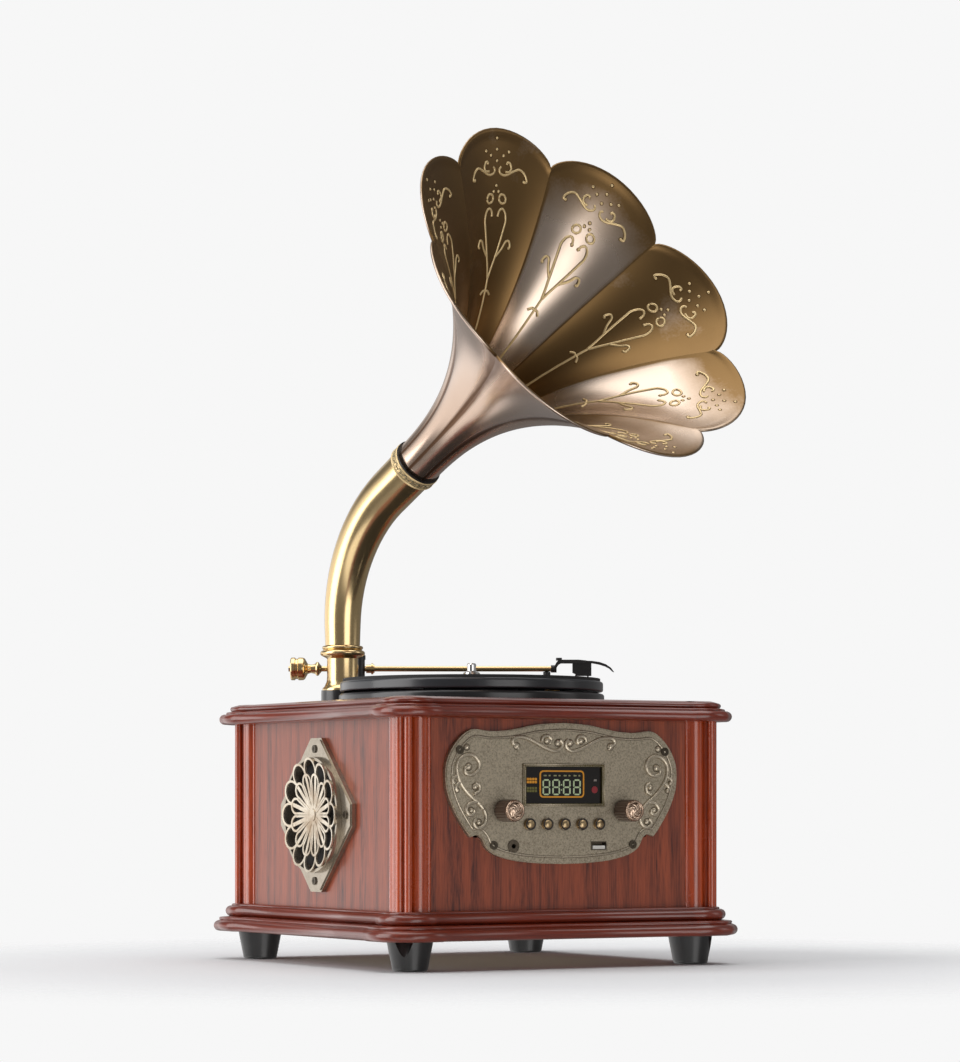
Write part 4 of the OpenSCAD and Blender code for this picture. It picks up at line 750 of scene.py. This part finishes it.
def rim_profile():
    """Rows as (v, inset): up the outside, round the rolled rim, down the inside."""
    outside = [(RIM_V * (i / ROWS) ** 0.9, 0.0) for i in range(ROWS)]
    rolled = [(RIM_V, 0.0)]
    for i in range(ROLL_STEPS + 1):
        out, rise = polar(1, -90 + 180 * i / ROLL_STEPS)
        rolled.append((RIM_V + ROLL_V + ROLL_V * out, SHEET / 2 + (SHEET / 2 + ROLL) * rise))
    return outside + rolled + [(RIM_V, SHEET)] + [(v, SHEET) for v, _ in reversed(outside)]


horn_rows = rim_profile()
horn_grid = [(petal, across(step), v, inset)
             for v, inset in horn_rows for petal in range(PETALS) for step in range(ACROSS)]
ring_size = PETALS * ACROSS
horn_faces = ring_faces(len(horn_rows), ring_size, closed=True)
inner_rows = range(ROWS + ROLL_STEPS // 2, len(horn_rows) - 1)
horn_marks = [int(i // ring_size in inner_rows) for i in range(len(horn_faces))]
horn_skin = make_piece("horn_skin", [from_neck(petal_point(*place)) for place in horn_grid], horn_faces,
                       [horn_outside, horn_inside], "horn_assembly", horn_marks)
print("horn skin faces:", len(horn_faces))

# %% Stains, painted shade and creases of the horn
# Painted shade on each petal: petals that mirror dark parts of the room are made much darker than their
# neighbours
PETAL_SHADE = [0.0, 0.92, 0.0, 0.85, 1.0, 0.9, 0.7, 0.6]


def stain_and_shade(petal, u, v):
    """How dark a place is made: old polish in the creases and at the rim, painted shade in the throat and on
    the darker petals.
    """
    crease = max(0, (abs(u) - 0.86) / 0.14) ** 1.4
    rim = max(0, (v - 0.84) / 0.16) ** 0.9 * 0.85
    throat = max(0, (0.58 - v) / 0.58) ** 0.9
    return max(crease, rim, throat, PETAL_SHADE[petal])


def crease_stain(u):
    """Dark lines outside, along the solder of each crease."""
    return max(0, (abs(u) - 0.72) / 0.28) ** 1.2 * 1.1


# each point's stain and painted shade, read by the horn's finishes
stain_shade = horn_skin.data.attributes.new("stain_shade", "FLOAT", "POINT")
stain_shade.data.foreach_set("value", [stain_and_shade(petal, u, v) if inset > SHEET / 2 else crease_stain(u)
                                for petal, u, v, inset in horn_grid])
shape = bmesh.new()
shape.from_mesh(horn_skin.data)
creases = [edge for edge in shape.edges if all(vert.index % ACROSS == 0 for vert in edge.verts)]
for edge in creases:
    edge.smooth = False
print("crease edges:", len(creases))
shape.to_mesh(horn_skin.data)
shape.free()

# %% Neck sleeve of the horn
SLEEVE_R, SLEEVE_SIDES = NECK_R - SHEET - 0.2, 64
SLEEVE_FOOT, LIP_FOOT, LIP_TOP, LIP_R = -14, 1.2, 3.2, NECK_R - 0.3
sleeve_profile = [(SLEEVE_R, SLEEVE_FOOT), (SLEEVE_R, LIP_FOOT - 0.4), (LIP_R, LIP_FOOT), (LIP_R, LIP_TOP),
                  (SLEEVE_R - SHEET, LIP_TOP), (SLEEVE_R - SHEET, SLEEVE_FOOT)]
sleeve_points = [from_neck((*polar(r, 360 * side / SLEEVE_SIDES), z))
                 for side in range(SLEEVE_SIDES) for r, z in sleeve_profile]
make_piece("horn_sleeve", sleeve_points, ring_faces(SLEEVE_SIDES, len(sleeve_profile), closed=True),
           [horn_outside], "horn_assembly")
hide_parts("horn")
print("sleeve radius", round(SLEEVE_R, 2))

# %% [markdown]
# ## Smooth skins
# A measured solid is made of flat facets, and on lacquered mouldings and bright tubes each facet
# would show as a stripe. For these pieces the same mesh is taken over with its points welded and its
# shading smoothed across shallow angles, while real edges and level faces stay sharp. No point moves.

# %% Smooth skins of mouldings and tubes
SHARP = math.radians(48)
LEVEL = 0.999
SKINS = {
    "top_moulding": ("cabinet", "case_wood"), "base_moulding": ("cabinet", "case_wood"),
    "corner_posts": ("cabinet", "case_wood"), "horn_pillar": ("cabinet", "brass"),
    "elbow_tube": ("horn_assembly", "brass"),
}


def welded(node):
    """The mesh of a solid in the room, with the doubled points of its facets welded."""
    shape = bmesh.new()
    shape.from_mesh(nodes[node].data)
    bmesh.ops.transform(shape, matrix=nodes[node].matrix_world, verts=shape.verts)
    bmesh.ops.remove_doubles(shape, verts=shape.verts, dist=1e-6)
    return shape


def smooth_skin(node, body):
    """A copy of a solid with smooth shading across angles below SHARP, in place of the solid."""
    shape = welded(node)
    for face in shape.faces:
        face.smooth = True
    for edge in shape.edges:
        lying = [abs(face.normal.z) > LEVEL for face in edge.link_faces]
        edge.smooth = edge.calc_face_angle(0) < SHARP and (all(lying) or not any(lying))
    mesh = bpy.data.meshes.new(node + "_skin")
    shape.to_mesh(mesh)
    shape.free()
    mesh.materials.append(DRESS[node])
    skin = stand(node + "_skin", mesh, body)
    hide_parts(node)
    print(node, "faces:", len(mesh.polygons))


for node_name, (body_name, slot_name) in SKINS.items():
    smooth_skin(node_name, body_name)

# %% [markdown]
# ## Raised work
# Embossed and cast ornament is a bead of metal that follows a curve on a surface, with a dark line of painted
# shade at its foot. Painting it on would leave it flat when the light moves, so each curve becomes a narrow
# mesh with a round back, on a slightly wider dark bed of painted shade.

# %% Beads and domes that lie on a surface
ARCH = [polar(1, turn) for turn in (0, 45, 90, 135, 180)]
DOME_SIDES, DOME_ROUNDS = 12, ((1, 0), (0.8, 0.62), (0.42, 0.92))
SUNK, BED, BEAD_BED_T, DOME_BED_T = 0.12, 0.55, 0.06, 0.05
TO_FRONT = Vector((0, -1, 0))


def smooth_path(corners, steps=5):
    """Places on a curve that passes through every corner."""
    ends = [corners[0], *corners, corners[-1]]
    path = []
    for a, b, c, d in zip(ends, ends[1:], ends[2:], ends[3:]):
        for k in range(steps):
            t = k / steps
            path.append(tuple(0.5 * (2 * q + (r - p) * t + (2 * p - 5 * q + 4 * r - s) * t ** 2
                                     + (3 * q - p - 3 * r + s) * t ** 3) for p, q, r, s in zip(a, b, c, d)))
    return path + [tuple(corners[-1])]


class Work:
    """Points and faces gathered into one piece. Each face is marked with the number of its finish."""

    def __init__(self):
        self.points, self.faces, self.marks = [], [], []

    def add(self, faces, mark):
        """Adds faces that share one finish."""
        self.faces += faces
        self.marks += [mark] * len(faces)

    def slab(self, front, back):
        """A closed slab between two outlines that have as many points."""
        first, n = len(self.points), len(front)
        self.points += front + back
        ends = [tuple(range(first, first + n)), tuple(range(first + n, first + 2 * n))]
        self.add(ends + ring_faces(2, n, first), 0)

    def make(self, name, finishes, body, slot, smooth=True):
        """The finished piece, with all faces turned outwards."""
        piece = make_piece(name, self.points, self.faces, finishes, body, self.marks, smooth)
        shape = bmesh.new()
        shape.from_mesh(piece.data)
        bmesh.ops.recalc_face_normals(shape, faces=shape.faces)
        shape.to_mesh(piece.data)
        shape.free()
        print(name, "faces:", len(self.faces))


class RaisedWork(Work):
    """Beads and domes on a surface. Finish 0 is the dark bed of painted shade, finish 1 the bright metal."""

    def strip(self, places, width, height, mark):
        """A closed strip with a round back along places, each a point with its outward direction."""
        first, n, last = len(self.points), len(ARCH), len(places) - 1
        for i, (here, up) in enumerate(places):
            ahead = (places[min(i + 1, last)][0] - places[max(i - 1, 0)][0]).normalized()
            side = ahead.cross(up).normalized()
            for out, rise in ARCH:
                self.points.append(here + (side * (out * width / 2) + up * (rise * height - SUNK)) * MM)
        ends = [tuple(range(end, end + n)) for end in (first, first + last * n)]
        self.add(ring_faces(len(places), n, first) + ends, mark)

    def bead(self, lay, corners, width, height, steps=5):
        """A bright bead on its dark bed along a smooth curve."""
        places = [lay(*corner) for corner in smooth_path(corners, steps)]
        self.strip(places, width + 2 * BED, SUNK + BEAD_BED_T, 0)
        self.strip(places, width, height, 1)

    def dome(self, place, radius, height, bed=BED):
        """A bright dome on its dark bed."""
        here, up = place
        side = up.orthogonal().normalized()
        other = up.cross(side)
        first, n = len(self.points), DOME_SIDES
        rounds = [(radius + bed, SUNK + DOME_BED_T)] + [(radius * r, height * h) for r, h in DOME_ROUNDS]
        for part_r, rise in rounds:
            for x, y in [polar(1, 360 * i / n) for i in range(n)]:
                self.points.append(here + ((side * x + other * y) * part_r + up * (rise - SUNK)) * MM)
        self.points.append(here + up * (height - SUNK) * MM)
        top = first + len(DOME_ROUNDS) * n
        self.add([tuple(range(first, first + n))], 0)
        self.add(ring_faces(len(DOME_ROUNDS), n, first + n), 1)
        self.add([(top + j, top + (j + 1) % n, top + n) for j in range(n)], 1)


def full_turn(steps):
    """Turns in degrees from 0 round to 360."""
    return [360 * i / steps for i in range(steps + 1)]


print("a bead has", len(ARCH), "points across its back, a dome", DOME_SIDES, "sides")

# %% [markdown]
# ### Embossing of the petals
# All eight petals carry the same motif, struck into the sheet before the petals are joined: a pair
# of scrolls under a spray of dots, two rings, and a forked stem that runs down into the throat. Each
# curve is drawn once for the right half, as distance from the petal's middle and place along it.

# %% Motif on every petal
PETAL_BEAD, PETAL_RISE, DOT_R, DOT_RISE, DOT_BED = 2.1, 0.8, 1.3, 0.7, 0.35
PETAL_HALF = [
    [(24.4, 0.908), (27.0, 0.914), (25.0, 0.925), (20.4, 0.928), (14.6, 0.917), (10.0, 0.907), (6.4, 0.903),
     (3.2, 0.906), (2.2, 0.914), (3.8, 0.920)],
    [(7.8, 0.911), (11.4, 0.914), (13.0, 0.923), (11.8, 0.932), (9.7, 0.932), (9.1, 0.927)],
    [(0.3, 0.655), (1.8, 0.682), (4.0, 0.713), (6.6, 0.752), (8.8, 0.785), (10.0, 0.805), (9.0, 0.822),
     (6.2, 0.829), (3.6, 0.822), (2.8, 0.810)],
    [(4.2, 0.712), (8.6, 0.735), (11.6, 0.757), (14.6, 0.762), (15.6, 0.750), (13.9, 0.744)],
    [(0.0, 0.618), (2.2, 0.619), (4.4, 0.610)],
]
PETAL_MIDDLE_DOTS = [0.979, 0.956, 0.932, 0.879]
PETAL_DOTS = [(11, 0.955), (6, 0.944), (2.3, 0.866), (24.4, 0.909), (15, 0.747), (2.8, 0.812)]
PETAL_STEM = [(0, 0.30), (0, 0.40), (0, 0.50), (0, 0.58), (0, 0.665)]
RING_X, RING_V, RING_R, V_PER_MM = 5.9, 0.851, 3.1, 0.0033


def on_petal(petal):
    """Maps a distance from the petal's middle and a place along it to the inner face of the sheet."""
    def lay(x, v):
        """A place with its outward direction."""
        u = x / petal_width(v)
        here = from_neck(petal_point(petal, u, v, SHEET))
        return here, (from_neck(petal_point(petal, u, v, SHEET + 1)) - here).normalized()
    return lay


def petal_motif(work, lay):
    """All curves, rings and dots of one petal."""
    for half in (1, -1):
        for corners in PETAL_HALF:
            work.bead(lay, [(half * x, v) for x, v in corners], PETAL_BEAD, PETAL_RISE)
        ring = [polar(RING_R, turn) for turn in full_turn(14)]
        work.bead(lay, [(half * RING_X + x, RING_V + V_PER_MM * y) for x, y in ring],
                  PETAL_BEAD, PETAL_RISE, 1)
        for x, v in PETAL_DOTS:
            work.dome(lay(half * x, v), DOT_R, DOT_RISE, DOT_BED)
    work.bead(lay, PETAL_STEM, PETAL_BEAD, PETAL_RISE)
    for v in PETAL_MIDDLE_DOTS:
        work.dome(lay(0, v), DOT_R, DOT_RISE, DOT_BED)


petal_work = RaisedWork()
for petal in range(PETALS):
    petal_motif(petal_work, on_petal(petal))
petal_work.make("petal_embossing", [bead_shadow, raised_gold], "horn_assembly", "horn_brass")

# %% [markdown]
# ### Band of the collar
# The collar between elbow and horn has a cast band of small leaves between two thin rims. It is laid
# round the collar in the horn's own frame, and turns with the horn and its elbow on the pillar.

# %% Collar band
COLLAR_R, COLLAR_FOOT, COLLAR_TOP, LEAVES = 19.7, -6.4, -2.1, 20
LEAF, BERRY = [(-7, -5.2), (-2, -3.0), (4, -3.4), (5, -5.0), (1, -5.0)], (9, -4.2)


def on_collar(turn, height):
    """Maps a turn in degrees and a height to the side of the collar."""
    here = from_neck((*polar(COLLAR_R, turn), height))
    return here, (from_neck((*polar(COLLAR_R + 1, turn), height)) - here).normalized()


collar_work = RaisedWork()
for height in (COLLAR_FOOT, COLLAR_TOP):
    collar_work.bead(on_collar, [(turn, height) for turn in full_turn(72)], 0.5, 0.3, 1)
for leaf in range(LEAVES):
    turn = 360 * leaf / LEAVES
    collar_work.bead(on_collar, [(turn + ahead, height) for ahead, height in LEAF], 0.7, 0.42, 3)
    collar_work.dome(on_collar(turn + BERRY[0], BERRY[1]), 0.6, 0.4, 0.2)
collar_work.make("collar_band", [bead_shadow, collar_pewter], "horn_assembly", "horn_brass")

# %% [markdown]
# ### Cast work of the control plate
# The plate has a raised rim that follows its outline, a pair of scrolls with balls above the display,
# and a large scroll at each side. The outline is taken from the front face of the measured plate, so
# the rim stays true to it; where the outline turns sharply inwards the bead simply cuts the corner.

# %% Rim of the control plate
PLATE_LOW, PLATE_HIGH = box_mm("control_plate")
PLATE_Z = (PLATE_LOW.z + PLATE_HIGH.z) / 2
RIM_IN, RIM_W, RIM_H = 4.2, 1.5, 0.9
TOO_NEAR = 0.93


def on_plate(x, z):
    """Maps millimetres from the middle of the plate to its front face."""
    return at(x, -PLATE_FRONT, PLATE_Z + z), TO_FRONT


def front_faces(shape, face_y):
    """Faces of a shape that look forwards and lie in one plane."""
    return {face for face in shape.faces if face.normal.y < -0.99
            and abs((face.calc_center_median() - SPINDLE).y / MM + face_y) < 0.1}


def around(loop):
    """Pairs of neighbours round a closed loop."""
    return zip(loop, loop[1:] + loop[:1])


def front_outline(node, face_y):
    """Corners of the longest edge loop of a solid's front face, in order, from the plate's middle."""
    shape = welded(node)
    front = front_faces(shape, face_y)
    links = {}
    for edge in shape.edges:
        if sum(face in front for face in edge.link_faces) == 1:
            a, b = edge.verts
            links.setdefault(a, []).append(b)
            links.setdefault(b, []).append(a)
    loops = []
    left = set(links)
    while left:
        here = min(left, key=lambda vert: tuple(vert.co))
        loop = []
        while here:
            left.discard(here)
            loop.append(here)
            here = next((vert for vert in links[here] if vert in left), None)
        places = [(vert.co - SPINDLE) / MM for vert in loop]
        loops.append([(place.x, place.z - PLATE_Z) for place in places])
    shape.free()
    return max(loops, key=lambda loop: sum(math.dist(p, q) for p, q in around(loop)))


def inset_loop(loop, inset, step=1.2):
    """The loop moved inwards, evenly spaced, without the places that come too near another side."""
    dense = []
    for p, q in around(loop):
        parts = max(1, round(math.dist(p, q) / step))
        dense += [(p[0] + (q[0] - p[0]) * i / parts, p[1] + (q[1] - p[1]) * i / parts) for i in range(parts)]
    area = sum(p[0] * q[1] - q[0] * p[1] for p, q in around(dense))
    inward = 1 if area > 0 else -1
    inner = []
    for i, here in enumerate(dense):
        before, after = dense[i - 2], dense[(i + 2) % len(dense)]
        along_x, along_z = after[0] - before[0], after[1] - before[1]
        length = math.hypot(along_x, along_z) or 1
        moved = (here[0] - inward * along_z / length * inset, here[1] + inward * along_x / length * inset)
        if min(math.dist(moved, p) for p in dense) > TOO_NEAR * inset:
            inner.append(moved)
    return inner + inner[:1]


plate_work = RaisedWork()
plate_loop = front_outline("control_plate", PLATE_FRONT)
plate_work.bead(on_plate, inset_loop(plate_loop, RIM_IN), RIM_W, RIM_H, 1)
print("corners of the plate's outline:", len(plate_loop))

# %% Scrolls and balls of the control plate
SCROLL_W, SCROLL_H = 3.2, 1.8
BALL_SPREAD, BALL_RISE = 1.15, 2.0
PLATE_HALF = [
    [(39.0, 32.2), (40.6, 35.6), (43.6, 36.2), (43.8, 39.4), (39.4, 41.2), (32.3, 40.6), (24.4, 37.4),
     (15.6, 33.2), (7.6, 31.2), (2.6, 33.4), (1.4, 37.0), (3.6, 39.6)],
    [(19.0, 38.0), (18.2, 41.2), (14.2, 42.4), (11.2, 39.8), (12.6, 36.4)],
    [(80.0, 18.6), (84.1, 18.4), (83.6, 14.6), (78.6, 13.4), (73.4, 16.6), (72.2, 22.0), (76.5, 27.2),
     (83.4, 27.8), (89.6, 23.4), (91.0, 17.0), (89.0, 9.6), (84.3, 2.8), (78.8, -2.6), (73.4, -6.6),
     (68.4, -11.6)],
    [(74.0, -6.2), (80.2, -7.4), (83.2, -11.6), (80.6, -15.6), (76.6, -14.6), (76.8, -11.8)],
    [(68.4, -11.6), (66.4, -17.6), (68.6, -23.4), (73.6, -25.2), (77.0, -21.6), (74.4, -18.6)],
    [(90.6, 12.6), (94.4, 10.6), (94.2, 6.6)],
    [(88.4, 8.0), (92.0, 4.6), (90.4, 1.0)],
    [(76.8, -0.6), (72.6, 1.4), (72.2, 5.8), (75.6, 7.6)],
]
PLATE_BALLS = [(40.4, 34.6, 2.3), (14.6, 38.8, 2.2), (5.2, 37.2, 2.3), (81.0, 19.2, 2.3), (82.6, 33.4, 2.0),
               (75.6, 4.8, 2.1), (78.9, -12.4, 1.9), (72.6, -21.0, 2.0), (93.4, 7.6, 1.4), (90.6, 2.2, 1.4)]
for half in (1, -1):
    for corners in PLATE_HALF:
        plate_work.bead(on_plate, [(half * x, z) for x, z in corners], SCROLL_W, SCROLL_H)
    for x, z, ball_r in PLATE_BALLS:
        plate_work.dome(on_plate(half * x, z), ball_r * BALL_SPREAD, BALL_RISE)
# the beds under the scrolls and balls are painted shade
plate_work.make("plate_scrolls", [shade_pewter, scroll_pewter], "cabinet", "cast_metal")

# %% [markdown]
# ### Small parts of the plate
# The display has a thin double line round it, each button is a bright dome in a dark ring of painted shade,
# and the tongue of the data socket is white. They are thin or small, but the plate looks unfinished without
# them. The button domes ride on their buttons, so that they go in when a button is pressed.

# %% Lines round the display
frame_low, frame_high = box_mm("display_frame")
window_low, window_high = box_mm("display_window")


def box_line(work, low_corner, high_corner, inset, width, height):
    """A straight bead round a box on the front of the display frame, with square corners."""
    x0, x1 = low_corner.x + inset, high_corner.x - inset
    z0, z1 = low_corner.z + inset, high_corner.z - inset
    for ends in around([(x0, z0), (x1, z0), (x1, z1), (x0, z1)]):
        work.strip([(at(x, frame_low.y, z), TO_FRONT) for x, z in ends], width, height, 1)


frame_work = RaisedWork()
box_line(frame_work, frame_low, frame_high, inset=0.45, width=0.8, height=0.5)
box_line(frame_work, window_low, window_high, inset=-0.7, width=0.6, height=0.35)
frame_work.make("display_lines", [shade_pewter, scroll_pewter], "cabinet", "cast_metal")

# %% Domes of the buttons
BUTTON_RIM, BUTTON_RISE, BUTTON_RING = 1.35, 1.3, 1.1
for number, button in enumerate(BUTTONS, 1):
    low, high = box_mm(button)
    dome = RaisedWork()
    dome.dome((at((low.x + high.x) / 2, low.y, (low.z + high.z) / 2), TO_FRONT),
              (high.x - low.x) / 2 - BUTTON_RIM, BUTTON_RISE, BUTTON_RING)
    # the dark ring round each dome is painted shade
    dome.make("button_dome_%d" % number, [ring_shade, button_gold], "push_button_%d" % number, "button_gold")

# %% Tongue of the data socket
TONGUE_W, TONGUE_H, TONGUE_L, TONGUE_BACK, TONGUE_DROP, USB_IN = 10.6, 2.5, 4.0, 0.3, 1.2, 1.4
low, high = box_mm("front_sockets")
tongue_x = high.x - USB_IN - TONGUE_W / 2
tongue_z = (low.z + high.z) / 2 - TONGUE_DROP
tongue_ends = [[at(tongue_x + x * TONGUE_W / 2, y, tongue_z + z * TONGUE_H / 2) for x, z in CORNERS]
               for y in (low.y + TONGUE_BACK, low.y + TONGUE_BACK + TONGUE_L)]
tongue = Work()
tongue.slab(*tongue_ends)
tongue.make("socket_tongue", [contact_white], "cabinet", "nickel", smooth=False)

# %% [markdown]
# ### Swirls on the knob caps
# Each cap is a stamped copper disc: a ring of curved gadroons round a small boss. The cap's own
# shape falls from its middle to a groove and rises to the edge, and the beads follow that fall.

# %% Knob caps
GADROONS, TWIST = 7, 70
GROOVE_R, EDGE_R = 4.2, 5.2


def cap_fall(radius):
    """How far the front of a cap lies behind its middle: a dome, a groove, then the edge."""
    if radius < GROOVE_R:
        return 0.24 * radius
    return 1.0 + 0.5 * (radius - GROOVE_R) if radius < EDGE_R else 0.6


def cap_swirls(node, body):
    """Curved beads on the domed cap of a knob."""
    low, high = box_mm(node)
    middle = (low + high) / 2

    def on_cap(radius, turn):
        """Maps a radius and a turn to the front of the cap."""
        x, z = polar(radius, turn)
        return at(middle.x + x, low.y + cap_fall(radius), middle.z + z), TO_FRONT

    work = RaisedWork()
    for gadroon in range(GADROONS):
        start = 360 * gadroon / GADROONS
        curve = [(radius, start + TWIST * part / 3) for part, radius in enumerate((1.9, 3.0, 4.2, 5.3))]
        work.bead(on_cap, curve, 1.1, 0.3, 3)
    work.bead(on_cap, [(6.6, turn) for turn in full_turn(48)], 0.7, 0.35, 1)
    work.dome(on_cap(0, 0), 1.2, 0.5, 0.2)
    # the beds under the swirls are painted shade, darker than the copper
    work.make(node.replace("cap", "swirl"), [swirl_shade, aged_copper], body, "copper")


cap_swirls("knob_cap_left", "left_knob")
cap_swirls("knob_cap_right", "right_knob")

# %% [markdown]
# ### Lit display
# Behind the dark glass a lamp shows four digits in pale green inside an orange frame. A real tube
# shows its lit bars and hides the unlit ones, so only lit bars are made, as thin plates that glow a
# little. They sit a hair in front of the glass, because light from behind it would be lost in it.

# %% Bars of the display
BAR_BACK, BAR_T = 0.02, 0.25


def glass_plate(work, outline):
    """A thin plate on the glass, its outline in millimetres from the middle of the control plate."""
    work.slab(*[[at(x, window_low.y - depth, PLATE_Z + z) for x, z in outline]
                for depth in (BAR_BACK, BAR_T)])


def bar(x, z, length, thick, upright):
    """Outline of one bar with pointed ends."""
    half, t = length / 2, thick / 2
    outline = [(-half, 0), (-half + t, t), (half - t, t), (half, 0), (half - t, -t), (-half + t, -t)]
    return [(x + (b if upright else a), z + (a if upright else b)) for a, b in outline]


def rounded_box(x0, z0, x1, z1, r):
    """Outline of a box with round corners."""
    corners = [(x1 - r, z1 - r, 0), (x0 + r, z1 - r, 90), (x0 + r, z0 + r, 180), (x1 - r, z0 + r, 270)]
    rounds = [(x, z, polar(r, start + 22.5 * i)) for x, z, start in corners for i in range(5)]
    return [(x + across_x, z + up_z) for x, z, (across_x, up_z) in rounds]


DIGIT_AT, DIGIT_Z, DIGIT_W, DIGIT_H, BAR_W = (-14.6, -6.2, 3.0, 11.8), 4.6, 5.4, 10.6, 1.15
lit_digits, lit_marks, lit_frame, dim_marks, eye, lamp = [Work() for _ in range(6)]
for x in DIGIT_AT:
    for z in (-DIGIT_H / 2, 0, DIGIT_H / 2):
        glass_plate(lit_digits, bar(x, DIGIT_Z + z, DIGIT_W - 0.9, BAR_W, False))
    for side in (-1, 1):
        for z in (-DIGIT_H / 4, DIGIT_H / 4):
            glass_plate(lit_digits, bar(x + side * DIGIT_W / 2, DIGIT_Z + z, DIGIT_H / 2 - 0.6, BAR_W, True))
for z in (2.6, 6.4):
    glass_plate(lit_digits, rounded_box(-2.1, z - 0.5, -1.1, z + 0.5, 0.4))
print("digits at", DIGIT_AT)

# %% Marks and frame of the display
MARKS_X, MARK_STEP, MARK_W = -17.0, 4.3, (2.6, 1.6)
RANKS = ((-31.4, 7.4, -22.4, 11.8, lit_frame), (-31.4, 0.9, -22.4, 5.0, dim_marks))
RANK_COLUMNS, RANK_ROWS = 4, 2
for mark in range(8):
    x = MARKS_X + MARK_STEP * mark
    glass_plate(lit_marks, rounded_box(x, 12.6, x + MARK_W[mark % 2], 13.7, 0.3))
for x0, z0, x1, z1, rank in RANKS:
    for row in range(RANK_ROWS):
        for column in range(RANK_COLUMNS):
            left = x0 + column * (x1 - x0) / RANK_COLUMNS
            foot = z0 + row * (z1 - z0) / RANK_ROWS
            glass_plate(rank, rounded_box(left, foot, left + 1.9, foot + 1.8, 0.35))
outer = rounded_box(-20.5, -3.1, 18.1, 17.0, 3.0)
inner = rounded_box(-19.3, -2.0, 17.0, 15.9, 2.2)
for (outer_a, outer_b), (inner_a, inner_b) in zip(around(outer), around(inner)):
    glass_plate(lit_frame, [outer_a, outer_b, inner_b, inner_a])
glass_plate(eye, rounded_box(26.4, 9.0, 29.0, 10.6, 0.5))
glass_plate(lamp, rounded_box(24.6, 0.2, 29.8, 5.4, 2.5))
for name, work, finish in (("display_digits", lit_digits, lit_green), ("display_marks", lit_marks, lit_pale),
                           ("display_frame_lines", lit_frame, lit_orange),
                           ("display_dim_marks", dim_marks, lit_olive), ("remote_eye", eye, eye_grey),
                           ("standby_lamp", lamp, lit_red)):
    work.make(name, [finish], "cabinet", "display_pane", smooth=False)

# %% [markdown]
# ### Cloth behind the grilles
# Dark cloth is stretched over a ring behind each flower. It is painted shade: a dark sheet where the hollow
# behind the flower lies in shade, so the cone doesn't show. It bows inwards a little where it isn't held, and
# its weave is a fine checker of raised threads.

# %% Speaker cloth
CLOTH_RINGS, CLOTH_SIDES = 12, 48
CLOTH_GAP, CLOTH_BOW = 0.25, 0.7
CLOTH_SHARE, CLOTH_EDGE = 0.718, 0.4
low, high = box_mm("grille_left")
GRILLE_Z = (low.z + high.z) / 2
CLOTH_R = CLOTH_SHARE * (high.z - low.z) / 2 - CLOTH_EDGE
cloth_faces = [(0, 1 + j, 1 + (j + 1) % CLOTH_SIDES) for j in range(CLOTH_SIDES)]
cloth_faces += [face[::-1] for face in ring_faces(CLOTH_RINGS, CLOTH_SIDES, 1)]
for name, side in (("shade_cloth_left", -1), ("shade_cloth_right", 1)):
    points = [at(side * (PANEL + CLOTH_GAP), 0, GRILLE_Z)]
    for part in [ring / CLOTH_RINGS for ring in range(1, CLOTH_RINGS + 1)]:
        x = side * (PANEL + CLOTH_GAP + CLOTH_BOW * part ** 3)
        turns = [polar(CLOTH_R * part, 360 * j / CLOTH_SIDES) for j in range(CLOTH_SIDES)]
        points += [at(x, y, GRILLE_Z + z) for y, z in turns]
    make_piece(name, points, cloth_faces, [shade_cloth], "cabinet")
print("cloth radius", round(CLOTH_R, 1))
